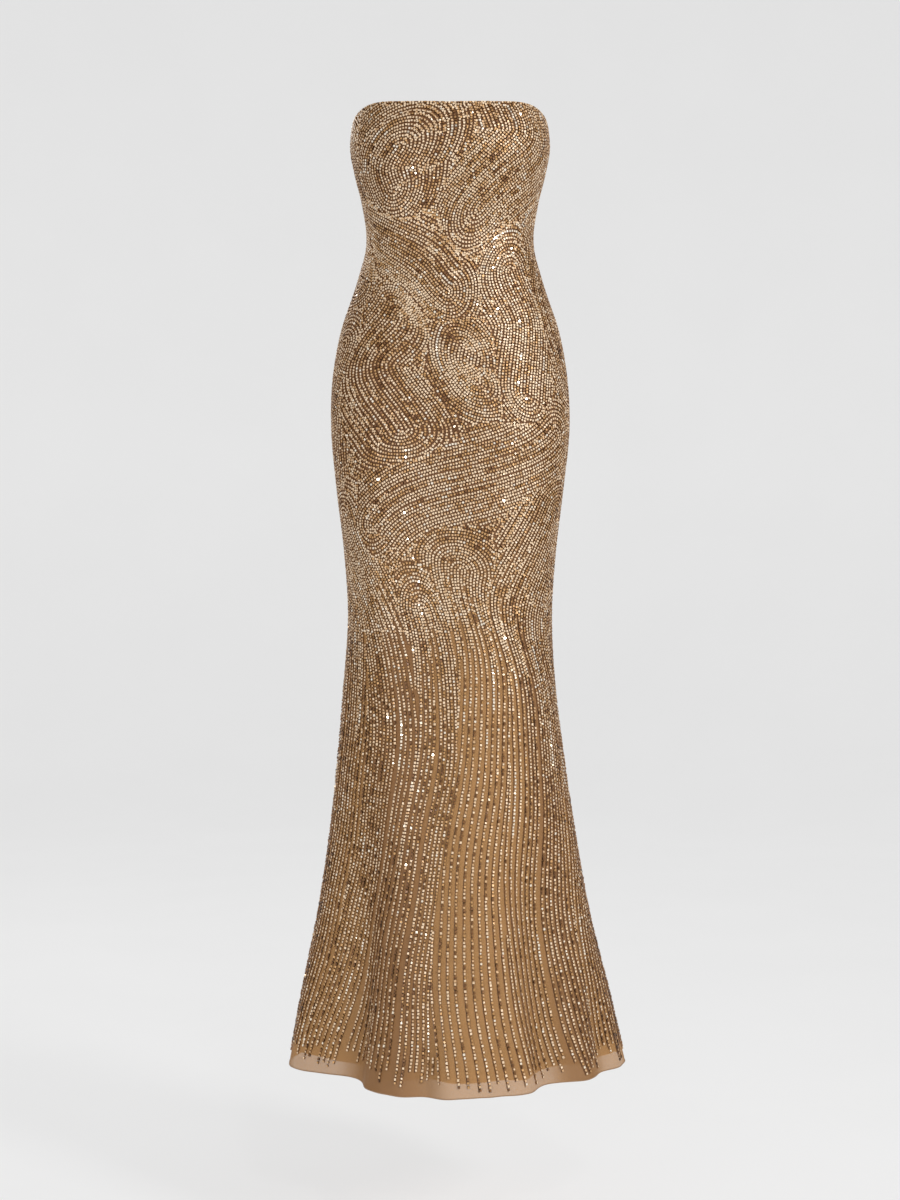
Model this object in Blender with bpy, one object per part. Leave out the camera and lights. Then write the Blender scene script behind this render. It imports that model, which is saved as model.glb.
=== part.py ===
"""Strapless column gown: beaded tulle over a satin lining, with a centre-back zip.

The cloth is built as thin walls round the shape that the gown is cut to. Angles
run round the body from the centre front, positive towards the wearer's left (+X).
Heights are measured from the bust line, where the gown is held up.
"""

import math
from collections import namedtuple

import bmesh
import bpy
import numpy as np
from mathutils import Matrix, Vector

MM = 0.001

# Driving sizes, in millimetres.
HEM_HEIGHT = -1366.0
LINING_HEM_HEIGHT = -1343.0
TULLE_WALL = 1.5            # beaded tulle, net and beads together
LINING_WALL = 1.0
LAYER_GAP = 0.3             # between the tulle and what lies behind it
SEAM_GAP = 0.3              # between two pieces that are sewn edge to edge
LINING_DROP = 6.0           # how far the lining hangs inside the tulle at its hem
LINING_FREE_BELOW = -420.0  # the lining parts from the tulle below the hips

# The cut of the gown, ring by ring. corner is the superellipse power: 2 is an
# ellipse, more is squarer. sway moves the ring's centre towards the wearer's left.
Ring = namedtuple("Ring", "height half_width front back corner sway")
RINGS = (
    Ring(60, 140.0, 105, 96, 2.55, 0.0),
    Ring(24, 146.0, 114, 100, 2.55, 0.0),
    Ring(0, 148.0, 118, 101, 2.50, 0.0),        # bust
    Ring(-36, 142.0, 117, 98, 2.45, 0.0),
    Ring(-81, 131.0, 105, 90, 2.35, 0.0),
    Ring(-144, 124.0, 90, 84, 2.20, 0.0),       # waist
    Ring(-201, 138.0, 92, 97, 2.20, 0.0),
    Ring(-276, 162.5, 100, 117, 2.20, 0.0),
    Ring(-345, 174.5, 107, 127, 2.25, 0.0),
    Ring(-420, 177.0, 109, 129, 2.25, 0.5),     # hips
    Ring(-501, 169.5, 107, 122, 2.20, 0.0),
    Ring(-606, 157.0, 104, 112, 2.15, 0.0),
    Ring(-696, 151.5, 104, 108, 2.10, 0.0),     # knees
    Ring(-801, 157.5, 112, 114, 2.10, -1.0),
    Ring(-906, 168.5, 124, 127, 2.05, 1.0),
    Ring(-1026, 184.0, 141, 145, 2.00, 3.5),
    Ring(-1146, 204.5, 162, 168, 2.00, 5.0),
    Ring(-1256, 230.0, 186, 194, 2.00, 7.5),
    Ring(-1366, 253.5, 212, 220, 2.00, 10.5),
)

# The folds of the flared skirt: soft troughs that deepen from start to the hem.
# angle and width are in degrees, depth is the trough's depth at the hem.
Fold = namedtuple("Fold", "angle width depth start")
FOLDS = (
    Fold(-55, 18.0, 56, -780),
    Fold(47, 16.5, 48, -800),
    Fold(-14, 6.5, 15, -1120),
    Fold(18, 6.0, 8, -1180),
    Fold(72, 7.5, 20, -1120),
    Fold(118, 13.0, 34, -820),
    Fold(-122, 15.0, 40, -790),
    Fold(157, 9.0, 20, -960),
    Fold(-158, 10.0, 24, -930),
)
FOLD_GROWTH = 1.35          # power of the ramp that deepens a fold

# The top edge, the same on both sides of the body.
EdgePoint = namedtuple("EdgePoint", "angle height")
TOP_EDGE = (
    EdgePoint(0, 42),
    EdgePoint(30, 44),
    EdgePoint(60, 46),
    EdgePoint(72, 39),
    EdgePoint(83, 31),
    EdgePoint(95, 22),
    EdgePoint(120, 7),
    EdgePoint(150, -4),
    EdgePoint(180, -8),
)

# Rows of points down a panel: three between the top edge and the first level row.
# The zip ends on a row, and its slot is closed on the next one.
EDGE_ROWS = (0.0, 0.3, 0.65)
LEVEL_ROWS = (-60, -95, -122, -144, -168, -200, -242, -285, -330, -345, -400, -460, -530,
              -606, -680, -750, -820, -890, -960, -1030, -1100, -1170, -1235, -1300)

# Columns of points round half of the front and half of the back, in degrees,
# closer together where the bodice rounds and the skirt folds.
FRONT_COLUMNS = (0, 8, 16, 24, 31, 38, 44, 50, 56, 62, 69, 76, 83)
BACK_COLUMNS = (97, 104, 111, 118, 125, 132, 139, 147, 155, 163, 171)

SIDE_SEAM = 90.0
CENTRE_BACK = 180.0

# Steps to either side of a point that its normal is worked out from.
TURN_STEP = 0.5             # degrees
HEIGHT_STEP = 1.0

# Zip
ZIP_BOTTOM = -330.0
ZIP_CLOSING = 15.0          # height over which the slot for the coil closes below it
COIL_HALF_WIDTH = 2.0
TAPE_HALF_WIDTH = 6.0
TAPE_WALL = 1.0
SLIDER_BELOW_EDGE = 9.0     # slider's middle below the top edge
SLIDER_LENGTH = 10.0
SLIDER_WIDTH = 7.0
SLIDER_HEIGHT = 2.2
SLIDER_ROUNDING = 0.6       # bevel of the slider's edges
SLIDER_ROUNDING_STEPS = 2
SLIDER_GAP = 0.3            # above the coil and the tulle
BRIDGE_WIDTH = 2.2
BRIDGE_LENGTH = 6.0
BRIDGE_WALL = 1.0
BRIDGE_TUNNEL = 2.2         # clear height for the pull tab's crossbar
BRIDGE_BAR = 0.7
BRIDGE_ROOT = 0.4           # how far the bridge's feet reach into the slider
CROSSBAR_BELOW = 0.9        # crossbar's centre below the slider's middle
TAB_THICKNESS = 1.0
TAB_CROSSBAR = 1.1
TAB_WINDOW_HALF_WIDTH = 1.5
TAB_WINDOW_END = 5.0        # from the crossbar's centre to the window's lower end
HINGE_MARK = 5.0            # size of the mark that shows the pull tab's hinge
# Outline of the pull tab: half-width at a distance below its crossbar's centre.
TabPoint = namedtuple("TabPoint", "below half_width")
TAB_OUTLINE = (
    TabPoint(-0.55, 2.3),
    TabPoint(0.2, 2.8),
    TabPoint(5.0, 2.8),
    TabPoint(8.0, 2.2),
    TabPoint(13.0, 2.9),
    TabPoint(18.0, 3.7),
    TabPoint(21.0, 3.5),
    TabPoint(23.0, 2.4),
    TabPoint(24.0, 0.9),
)

SMOOTH_ANGLE = math.radians(40)


# ---------------------------------------------------------------- shape of the gown

def smooth_curve(places, values, wanted):
    """Smooth curve through the table's points: a cubic with averaged slopes."""
    places = np.asarray(places, float)
    values = np.asarray(values, float)
    slopes = np.gradient(values, places)
    wanted = np.clip(np.asarray(wanted, float), places[0], places[-1])
    left = np.clip(np.searchsorted(places, wanted, side="right") - 1, 0, len(places) - 2)
    span = places[left + 1] - places[left]
    t = (wanted - places[left]) / span
    return ((2 * t**3 - 3 * t**2 + 1) * values[left]
            + (t**3 - 2 * t**2 + t) * span * slopes[left]
            + (3 * t**2 - 2 * t**3) * values[left + 1]
            + (t**3 - t**2) * span * slopes[left + 1])


def ring_value(column, height):
    """One column of the ring table at a height."""
    rings = sorted(RINGS)
    heights = [ring.height for ring in rings]
    return smooth_curve(heights, [getattr(ring, column) for ring in rings], height)


def smooth_step(x):
    x = np.clip(x, 0.0, 1.0)
    return x * x * (3 - 2 * x)


def angle_between(a, b):
    """Smallest turn from b to a, in degrees."""
    return (np.asarray(a) - b + 180.0) % 360.0 - 180.0


def fold_depth(angle, height):
    """How far the folds pull the cloth inwards."""
    depth = np.zeros(np.broadcast(angle, height).shape)
    for fold in FOLDS:
        ramp = smooth_step((fold.start - height) / (fold.start - HEM_HEIGHT)) ** FOLD_GROWTH
        depth = depth + fold.depth * ramp * np.exp(-(angle_between(angle, fold.angle) / fold.width) ** 2)
    return depth


def ring_radius(angle, height):
    turn = np.radians(angle)
    across = np.abs(np.sin(turn)) / ring_value("half_width", height)
    front = np.cos(turn) > 0
    depth = np.where(front, ring_value("front", height), ring_value("back", height))
    along = np.abs(np.cos(turn)) / depth
    corner = ring_value("corner", height)
    radius = (across ** corner + along ** corner) ** (-1.0 / corner)
    return radius - fold_depth(angle, height)


def cloth_point(angle, height):
    """Point of the gown's outer surface, in millimetres."""
    turn = np.radians(angle)
    radius = ring_radius(angle, height)
    return np.stack([ring_value("sway", height) + radius * np.sin(turn),
                     -radius * np.cos(turn),
                     np.broadcast_to(height, radius.shape).astype(float)], axis=-1)


def cloth_normal(angle, height):
    """Outward normal of the gown's outer surface."""
    round_body = cloth_point(angle + TURN_STEP, height) - cloth_point(angle - TURN_STEP, height)
    up_body = cloth_point(angle, height + HEIGHT_STEP) - cloth_point(angle, height - HEIGHT_STEP)
    normal = np.cross(round_body, up_body)
    return normal / np.linalg.norm(normal, axis=-1, keepdims=True)


def layer_point(angle, height, inset):
    """Point that lies inset millimetres inside the outer surface."""
    angle, height, inset = np.broadcast_arrays(angle, height, inset)
    return cloth_point(angle, height) - cloth_normal(angle, height) * inset[..., None]


def top_height(angle):
    angles = [point.angle for point in TOP_EDGE]
    return smooth_curve(angles, [point.height for point in TOP_EDGE],
                        np.abs(angle_between(angle, 0.0)))


def row_heights(angle, hem):
    """Heights of a panel's points down one column, from the top edge to the hem."""
    top = float(top_height(angle))
    edge = [top + (LEVEL_ROWS[0] - top) * share for share in EDGE_ROWS]
    return np.array(edge + [height for height in LEVEL_ROWS if height > hem] + [hem])


def seam_angle(seam, distance, height):
    """Angle at a distance round the cloth from a seam, at each height."""
    return seam + np.degrees(distance / ring_radius(np.full_like(height, seam), height))


# --------------------------------------------------------------------- cloth walls

def make_object(name, bm, material, smooth=True):
    bmesh.ops.recalc_face_normals(bm, faces=bm.faces)
    mesh = bpy.data.meshes.new(name)
    bm.to_mesh(mesh)
    bm.free()
    mesh.materials.append(material)
    if smooth:
        mesh.shade_smooth()
        mesh.set_sharp_from_angle(angle=SMOOTH_ANGLE)
    obj = bpy.data.objects.new(name, mesh)
    bpy.context.scene.collection.objects.link(obj)
    return obj


def wall_mesh(outer, inner):
    """Closed wall between two grids of points, each [column][row], in millimetres."""
    bm = bmesh.new()
    skins = []
    for grid in (outer, inner):
        skins.append([[bm.verts.new(Vector(point) * MM) for point in column] for column in grid])
    columns, rows = len(outer), len(outer[0])
    for skin in skins:
        for i in range(columns - 1):
            for j in range(rows - 1):
                bm.faces.new((skin[i][j], skin[i + 1][j], skin[i + 1][j + 1], skin[i][j + 1]))
    border = [(i, 0) for i in range(columns)]
    border += [(columns - 1, j) for j in range(1, rows)]
    border += [(i, rows - 1) for i in range(columns - 2, -1, -1)]
    border += [(0, j) for j in range(rows - 2, 0, -1)]
    for (i, j), (k, m) in zip(border, border[1:] + border[:1]):
        bm.faces.new((skins[0][i][j], skins[0][k][m], skins[1][k][m], skins[1][i][j]))
    return bm


def half_gap_at_back(height, beside_zip):
    """Distance of a back panel's edge from the centre back: open beside the zip."""
    closed = smooth_step((ZIP_BOTTOM - height) / ZIP_CLOSING)
    return beside_zip + (SEAM_GAP / 2 - beside_zip) * closed


def panel_columns(side, beside_zip, hem):
    """Angles of a panel's columns, each an array down its rows."""
    columns = []
    if side == "front":
        inner_columns = [-angle for angle in FRONT_COLUMNS[:0:-1]] + list(FRONT_COLUMNS)
        first = row_heights(-SIDE_SEAM, hem)
        columns.append(seam_angle(-SIDE_SEAM, SEAM_GAP / 2, first))
        columns += [np.full(len(first), float(angle)) for angle in inner_columns]
        columns.append(seam_angle(SIDE_SEAM, -SEAM_GAP / 2, first))
        return columns
    sign = 1.0 if side == "left" else -1.0
    heights = row_heights(SIDE_SEAM, hem)
    back_heights = row_heights(CENTRE_BACK, hem)
    columns.append(seam_angle(sign * SIDE_SEAM, sign * SEAM_GAP / 2, heights))
    columns += [np.full(len(heights), sign * angle) for angle in BACK_COLUMNS]
    edge_gap = half_gap_at_back(back_heights, beside_zip)
    columns.append(seam_angle(sign * CENTRE_BACK, -sign * edge_gap, back_heights))
    return columns


def cloth_panel(name, side, hem, outer_inset, wall, beside_zip, material):
    """One cut piece, between its seams, as a wall of even thickness."""
    outer, inner = [], []
    for angles in panel_columns(side, beside_zip, hem):
        heights = row_heights(angles[0], hem)
        inset = outer_inset(heights)
        outer.append(layer_point(angles, heights, inset))
        inner.append(layer_point(angles, heights, inset + wall))
    return make_object(name, wall_mesh(outer, inner), material)


def tulle_inset(heights):
    return np.zeros(len(heights))


def lining_inset(heights):
    """The lining lies against the tulle to the hips and hangs free below them."""
    free = smooth_step((LINING_FREE_BELOW - heights) / (LINING_FREE_BELOW - HEM_HEIGHT))
    return TULLE_WALL + LAYER_GAP + LINING_DROP * free


def cloth_panels(tulle, satin):
    coil_slot = COIL_HALF_WIDTH + SEAM_GAP
    tape_slot = TAPE_HALF_WIDTH + SEAM_GAP
    for side, suffix in (("front", "front"), ("left", "back_left"), ("right", "back_right")):
        cloth_panel("shell_" + suffix, side, HEM_HEIGHT, tulle_inset, TULLE_WALL, coil_slot, tulle)
        cloth_panel("lining_" + suffix, side, LINING_HEM_HEIGHT, lining_inset, LINING_WALL,
                    tape_slot, satin)


# ----------------------------------------------------------------------------- zip

def zip_chain(material):
    """Tape behind the slot with the closed coil standing in it, as one bar."""
    heights = row_heights(CENTRE_BACK, HEM_HEIGHT)
    heights = np.append(heights[heights > ZIP_BOTTOM], ZIP_BOTTOM)
    back_of_tulle = TULLE_WALL + LAYER_GAP
    # Cross-section, clockwise seen from above: across the back and inset from it.
    section = ((-TAPE_HALF_WIDTH, back_of_tulle), (-COIL_HALF_WIDTH, back_of_tulle),
               (-COIL_HALF_WIDTH, 0.0), (COIL_HALF_WIDTH, 0.0),
               (COIL_HALF_WIDTH, back_of_tulle), (TAPE_HALF_WIDTH, back_of_tulle),
               (TAPE_HALF_WIDTH, back_of_tulle + TAPE_WALL),
               (-TAPE_HALF_WIDTH, back_of_tulle + TAPE_WALL))
    bm = bmesh.new()
    strings = []
    for across, inset in section:
        points = layer_point(seam_angle(CENTRE_BACK, across, heights), heights, inset)
        strings.append([bm.verts.new(Vector(point) * MM) for point in points])
    for one, other in zip(strings, strings[1:] + strings[:1]):
        for j in range(len(heights) - 1):
            bm.faces.new((one[j], other[j], other[j + 1], one[j + 1]))
    bm.faces.new([string[0] for string in strings])
    bm.faces.new([string[-1] for string in reversed(strings)])
    return make_object("zip_chain", bm, material, smooth=False)


def slider_place():
    """Frame on the zip at the slider's middle: X across, Y out of the cloth, Z up it."""
    height = np.array([float(top_height(CENTRE_BACK)) - SLIDER_BELOW_EDGE])
    point = Vector(cloth_point(np.array([CENTRE_BACK]), height)[0])
    out = Vector(cloth_normal(np.array([CENTRE_BACK]), height)[0])
    across = Vector((1.0, 0.0, 0.0))
    out = (out - across * out.dot(across)).normalized()
    up = across.cross(out)
    turn = Matrix((across, out, up)).transposed().to_4x4()
    return Matrix.Translation(point * MM) @ turn


def box(name, low, high, material):
    """Box between two corners, in millimetres."""
    bm = bmesh.new()
    bmesh.ops.create_cube(bm, size=1.0)
    low, high = Vector(low), Vector(high)
    for vert in bm.verts:
        vert.co = Vector([(a + b) / 2 + c * (b - a) for a, b, c in zip(low, high, vert.co)]) * MM
    return make_object(name, bm, material, smooth=False)


def hide_tool(obj):
    obj.hide_render = True
    obj.display_type = "WIRE"


def boolean(obj, tool, operation):
    modifier = obj.modifiers.new(operation.lower(), "BOOLEAN")
    modifier.operation = operation
    modifier.object = tool
    modifier.solver = "EXACT"
    hide_tool(tool)


def zip_slider(metal):
    place = slider_place()
    foot = SLIDER_GAP
    top = foot + SLIDER_HEIGHT
    half_width, half_length = SLIDER_WIDTH / 2, SLIDER_LENGTH / 2
    slider = box("zip_slider", (-half_width, foot, -half_length), (half_width, top, half_length), metal)
    bevel = slider.modifiers.new("soft_corners", "BEVEL")
    bevel.width = SLIDER_ROUNDING * MM
    bevel.segments = SLIDER_ROUNDING_STEPS
    bridge = box("bridge_form",
                 (-BRIDGE_WIDTH / 2, top - BRIDGE_ROOT, -BRIDGE_LENGTH / 2),
                 (BRIDGE_WIDTH / 2, top + BRIDGE_TUNNEL + BRIDGE_BAR, BRIDGE_LENGTH / 2), metal)
    tunnel_half = BRIDGE_LENGTH / 2 - BRIDGE_WALL
    tunnel = box("tunnel_form", (-BRIDGE_WIDTH, top, -tunnel_half),
                 (BRIDGE_WIDTH, top + BRIDGE_TUNNEL, tunnel_half), metal)
    boolean(slider, bridge, "UNION")
    boolean(slider, tunnel, "DIFFERENCE")
    for obj in (slider, bridge, tunnel):
        obj.matrix_world = place


def crossbar_place():
    """Middle of the pull tab's crossbar, inside the bridge."""
    out = SLIDER_GAP + SLIDER_HEIGHT + BRIDGE_TUNNEL / 2
    return slider_place() @ (Vector((0.0, out, -CROSSBAR_BELOW)) * MM)


def pull_tab(metal):
    """Flat tab that hangs straight down from its crossbar, with a window for the bridge."""
    bm = bmesh.new()
    outline = [(point.half_width, -point.below) for point in TAB_OUTLINE]
    outline += [(-point.half_width, -point.below) for point in reversed(TAB_OUTLINE)]
    face = bm.faces.new([bm.verts.new(Vector((x, -TAB_THICKNESS / 2, z)) * MM) for x, z in outline])
    extruded = bmesh.ops.extrude_face_region(bm, geom=[face])
    moved = [item for item in extruded["geom"] if isinstance(item, bmesh.types.BMVert)]
    bmesh.ops.translate(bm, verts=moved, vec=Vector((0.0, TAB_THICKNESS, 0.0)) * MM)
    tab = make_object("pull_tab", bm, metal, smooth=False)
    window = box("window_form",
                 (-TAB_WINDOW_HALF_WIDTH, -TAB_THICKNESS, -TAB_WINDOW_END),
                 (TAB_WINDOW_HALF_WIDTH, TAB_THICKNESS, -TAB_CROSSBAR / 2), metal)
    boolean(tab, window, "DIFFERENCE")
    hinge = bpy.data.objects.new("pull_tab_hinge", None)
    bpy.context.scene.collection.objects.link(hinge)
    hinge.empty_display_size = HINGE_MARK * MM
    hinge.location = crossbar_place()
    for obj in (tab, window):
        obj.parent = hinge


# ----------------------------------------------------------------------- materials

def srgb(hex_colour):
    """Linear colour of an sRGB hex value."""
    parts = [int(hex_colour[i:i + 2], 16) / 255 for i in (0, 2, 4)]
    return [p / 12.92 if p <= 0.04045 else ((p + 0.055) / 1.055) ** 2.4 for p in parts] + [1.0]


def finish(name, hex_colour, roughness, metallic):
    material = bpy.data.materials.new(name)
    material.use_nodes = True
    shader = material.node_tree.nodes["Principled BSDF"]
    shader.inputs["Base Color"].default_value = srgb(hex_colour)
    shader.inputs["Roughness"].default_value = roughness
    shader.inputs["Metallic"].default_value = metallic
    return material


def clear_scene():
    for obj in list(bpy.data.objects):
        bpy.data.objects.remove(obj, do_unlink=True)


def main():
    clear_scene()
    tulle = finish("beaded_tulle", "B0926A", 0.35, 0.4)
    satin = finish("lining_satin", "B88A5C", 0.45, 0.0)
    coil = finish("nylon_coil", "A98960", 0.5, 0.0)
    brass = finish("plated_brass", "C9A66B", 0.25, 1.0)
    cloth_panels(tulle, satin)
    zip_chain(coil)
    zip_slider(brass)
    pull_tab(brass)


main()
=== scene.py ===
"""Beaded column gown: cloth, beadwork, zip finish and studio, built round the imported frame.

The gown's surface is worked out here from the same rings, folds and top edge that its
solids have. Angles run round the body from the centre front, in degrees, positive
towards the wearer's left. Tables are in millimetres; MM turns them to metres.
"""

import math
from collections import namedtuple

import bmesh
import bpy
import numpy as np
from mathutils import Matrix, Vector
from mathutils.kdtree import KDTree


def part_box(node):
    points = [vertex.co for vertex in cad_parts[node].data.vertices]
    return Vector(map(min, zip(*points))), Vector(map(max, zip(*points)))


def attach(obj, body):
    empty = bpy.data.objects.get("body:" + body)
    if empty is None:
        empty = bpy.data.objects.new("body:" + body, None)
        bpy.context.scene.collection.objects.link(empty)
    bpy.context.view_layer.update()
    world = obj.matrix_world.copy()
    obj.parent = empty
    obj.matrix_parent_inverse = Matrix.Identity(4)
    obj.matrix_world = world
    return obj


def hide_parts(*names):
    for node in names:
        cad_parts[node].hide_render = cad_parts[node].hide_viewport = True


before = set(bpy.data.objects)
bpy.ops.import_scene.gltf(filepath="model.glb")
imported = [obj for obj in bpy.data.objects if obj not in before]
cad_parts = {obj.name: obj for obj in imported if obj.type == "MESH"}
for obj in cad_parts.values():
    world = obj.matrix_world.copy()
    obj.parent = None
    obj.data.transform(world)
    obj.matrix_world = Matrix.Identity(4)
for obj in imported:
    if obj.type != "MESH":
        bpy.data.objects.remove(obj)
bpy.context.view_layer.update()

bl_info = {
    "name": "Beaded column gown",
    "version": (1, 0, 0),
    "blender": (4, 5, 0),
    "location": "View3D > Sidebar > Gown",
    "description": "Builds the cloth, the beadwork and the zip finish of a strapless column gown",
    "category": "Object",
}

MM = 0.001
BODY = "gown"

# ------------------------------------------------------------ shape of the gown's cloth

Ring = namedtuple("Ring", "height half_width front back corner sway")
RINGS = (
    Ring(60, 140.0, 105, 96, 2.55, 0.0),
    Ring(24, 146.0, 114, 100, 2.55, 0.0),
    Ring(0, 148.0, 118, 101, 2.50, 0.0),        # bust
    Ring(-36, 142.0, 117, 98, 2.45, 0.0),
    Ring(-81, 131.0, 105, 90, 2.35, 0.0),
    Ring(-144, 124.0, 90, 84, 2.20, 0.0),       # waist
    Ring(-201, 138.0, 92, 97, 2.20, 0.0),
    Ring(-276, 162.5, 100, 117, 2.20, 0.0),
    Ring(-345, 174.5, 107, 127, 2.25, 0.0),
    Ring(-420, 177.0, 109, 129, 2.25, 0.5),     # hips
    Ring(-501, 169.5, 107, 122, 2.20, 0.0),
    Ring(-606, 157.0, 104, 112, 2.15, 0.0),
    Ring(-696, 151.5, 104, 108, 2.10, 0.0),     # knees
    Ring(-801, 157.5, 112, 114, 2.10, -1.0),
    Ring(-906, 168.5, 124, 127, 2.05, 1.0),
    Ring(-1026, 184.0, 141, 145, 2.00, 3.5),
    Ring(-1146, 204.5, 162, 168, 2.00, 5.0),
    Ring(-1256, 230.0, 186, 194, 2.00, 7.5),
    Ring(-1366, 253.5, 212, 220, 2.00, 10.5),
)

Fold = namedtuple("Fold", "angle width depth start")
# The skirt's large folds, as in the solids.
FOLDS = (
    Fold(-55, 18.0, 56, -780),
    Fold(47, 16.5, 48, -800),
    Fold(-14, 6.5, 15, -1120),
    Fold(18, 6.0, 8, -1180),
    Fold(72, 7.5, 20, -1120),
    Fold(118, 13.0, 34, -820),
    Fold(-122, 15.0, 40, -790),
    Fold(157, 9.0, 20, -960),
    Fold(-158, 10.0, 24, -930),
)
# Small ripples that only the fine cloth has; a negative depth is a ridge.
RIPPLES = (
    Fold(-98, 4.0, 3.5, -1210),
    Fold(-83, 3.5, -2.5, -1240),
    Fold(-71, 4.0, 4.0, -1170),
    Fold(-41, 4.5, -4.0, -1150),
    Fold(-27, 4.0, 3.0, -1230),
    Fold(-4, 4.0, -2.5, -1200),
    Fold(9, 3.5, 2.5, -1270),
    Fold(31, 4.0, -3.5, -1190),
    Fold(59, 3.5, -4.0, -1200),
    Fold(84, 3.5, 3.0, -1230),
    Fold(102, 4.0, -3.5, -1190),
    Fold(133, 5.0, -4.0, -1160),
    Fold(146, 4.0, 3.0, -1240),
    Fold(171, 4.0, -3.0, -1210),
    Fold(-173, 4.0, 2.5, -1250),
    Fold(-143, 4.5, -4.0, -1180),
    Fold(-108, 4.0, -3.0, -1220),
)
FOLD_GROWTH = 1.35

EdgePoint = namedtuple("EdgePoint", "angle height")
TOP_EDGE = (
    EdgePoint(0, 42),
    EdgePoint(30, 44),
    EdgePoint(60, 46),
    EdgePoint(72, 39),
    EdgePoint(83, 31),
    EdgePoint(95, 22),
    EdgePoint(120, 7),
    EdgePoint(150, -4),
    EdgePoint(180, -8),
)

HEM_HEIGHT = round(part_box("shell_front")[0][2] / MM, 1)
LINING_HEM_HEIGHT = round(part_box("lining_front")[0][2] / MM, 1)
ZIP_BOTTOM = round(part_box("zip_chain")[0][2] / MM, 1)
ZIP_CLOSING = 15.0
SEAM_HALF_GAP = 0.15
COIL_SLOT = 2.3             # tulle's edge beside the zip, from the centre back
TAPE_SLOT = 6.3             # lining's edge beside the zip
TULLE_INSET = 0.8
LINING_INSET = 1.8
LINING_DROP = 6.0
LINING_FREE_BELOW = -420.0
TULLE_HEM_WAVE, LINING_HEM_WAVE = 1.5, 3.0      # how far the hems rise and fall
SIDE_SEAM = 90.0
CENTRE_BACK = 180.0


def smooth_curve(places, values, wanted):
    """Smooth curve through the table's points: a cubic with averaged slopes."""
    places = np.asarray(places, float)
    values = np.asarray(values, float)
    slopes = np.gradient(values, places)
    wanted = np.clip(np.asarray(wanted, float), places[0], places[-1])
    left = np.clip(np.searchsorted(places, wanted, side="right") - 1, 0, len(places) - 2)
    span = places[left + 1] - places[left]
    t = (wanted - places[left]) / span
    return ((2 * t**3 - 3 * t**2 + 1) * values[left]
            + (t**3 - 2 * t**2 + t) * span * slopes[left]
            + (3 * t**2 - 2 * t**3) * values[left + 1]
            + (t**3 - t**2) * span * slopes[left + 1])


def smooth_step(x):
    x = np.clip(x, 0.0, 1.0)
    return x * x * (3 - 2 * x)


def unit(vectors):
    return vectors / np.linalg.norm(vectors, axis=-1, keepdims=True)


def steps_along(points, axis=0):
    """Lengths of the steps from point to point along an axis of a grid."""
    return np.linalg.norm(np.diff(points, axis=axis), axis=-1)


def run_along(points, axis=0):
    """Length of the way to each point along an axis of a grid."""
    return np.insert(np.cumsum(steps_along(points, axis), axis=axis), 0, 0.0, axis=axis)


def ring_value(column, height):
    """One column of the ring table at a height."""
    rings = sorted(RINGS)
    return smooth_curve([ring.height for ring in rings],
                        [getattr(ring, column) for ring in rings], height)


def angle_between(a, b):
    """Smallest turn from b to a, in degrees."""
    return (np.asarray(a) - b + 180.0) % 360.0 - 180.0


def fold_depth(angle, height):
    """How far folds and ripples pull the cloth inwards."""
    depth = np.zeros(np.broadcast(angle, height).shape)
    for fold in FOLDS + RIPPLES:
        ramp = smooth_step((fold.start - height) / (fold.start - HEM_HEIGHT)) ** FOLD_GROWTH
        away = angle_between(angle, fold.angle) / fold.width
        depth = depth + fold.depth * ramp * np.exp(-away ** 2)
    return depth


def ring_radius(angle, height):
    turn = np.radians(angle)
    across = np.abs(np.sin(turn)) / ring_value("half_width", height)
    half_depth = np.where(np.cos(turn) > 0, ring_value("front", height), ring_value("back", height))
    along = np.abs(np.cos(turn)) / half_depth
    corner = ring_value("corner", height)
    radius = (across ** corner + along ** corner) ** (-1.0 / corner)
    return radius - fold_depth(angle, height)


def surface_point(angle, height):
    """Point of the gown's outer surface, in millimetres."""
    turn = np.radians(angle)
    radius = ring_radius(angle, height)
    return np.stack([ring_value("sway", height) + radius * np.sin(turn),
                     -radius * np.cos(turn),
                     np.broadcast_to(height, radius.shape).astype(float)], axis=-1)


def round_body(angle, height, turn=0.5):
    """Short step over the surface, towards the wearer's left at the front."""
    return surface_point(angle + turn, height) - surface_point(angle - turn, height)


def surface_normal(angle, height, rise=1.0):
    up_body = surface_point(angle, height + rise) - surface_point(angle, height - rise)
    return unit(np.cross(round_body(angle, height), up_body))


def layer_point(angle, height, inset):
    """Point that lies inset millimetres inside the outer surface."""
    angle, height, inset = np.broadcast_arrays(angle, height, inset)
    return surface_point(angle, height) - surface_normal(angle, height) * inset[..., None]


def top_height(angle):
    return smooth_curve([point.angle for point in TOP_EDGE],
                        [point.height for point in TOP_EDGE], np.abs(angle_between(angle, 0.0)))


def uneven(angle, amount, phase):
    """Slow unevenness round a hem, of five and of eleven waves."""
    turn = np.radians(angle)
    return amount * (0.6 * np.sin(5 * turn + phase) + 0.4 * np.sin(11 * turn + 2.3 * phase))


def tulle_hem(angle):
    return HEM_HEIGHT + TULLE_HEM_WAVE + uneven(angle, TULLE_HEM_WAVE, phase=0.4)


def lining_hem(angle):
    return LINING_HEM_HEIGHT + uneven(angle, LINING_HEM_WAVE, phase=1.7)


def lining_inset(height):
    """The lining hangs free of the tulle from the hips down."""
    free = smooth_step((LINING_FREE_BELOW - height) / (LINING_FREE_BELOW - HEM_HEIGHT))
    return LINING_INSET + LINING_DROP * free


# ------------------------------------------------------------------- small mesh helpers

SHARP_ANGLE = math.radians(50)


def new_object(name, mesh):
    obj = bpy.data.objects.new(name, mesh)
    bpy.context.scene.collection.objects.link(obj)
    return obj


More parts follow.
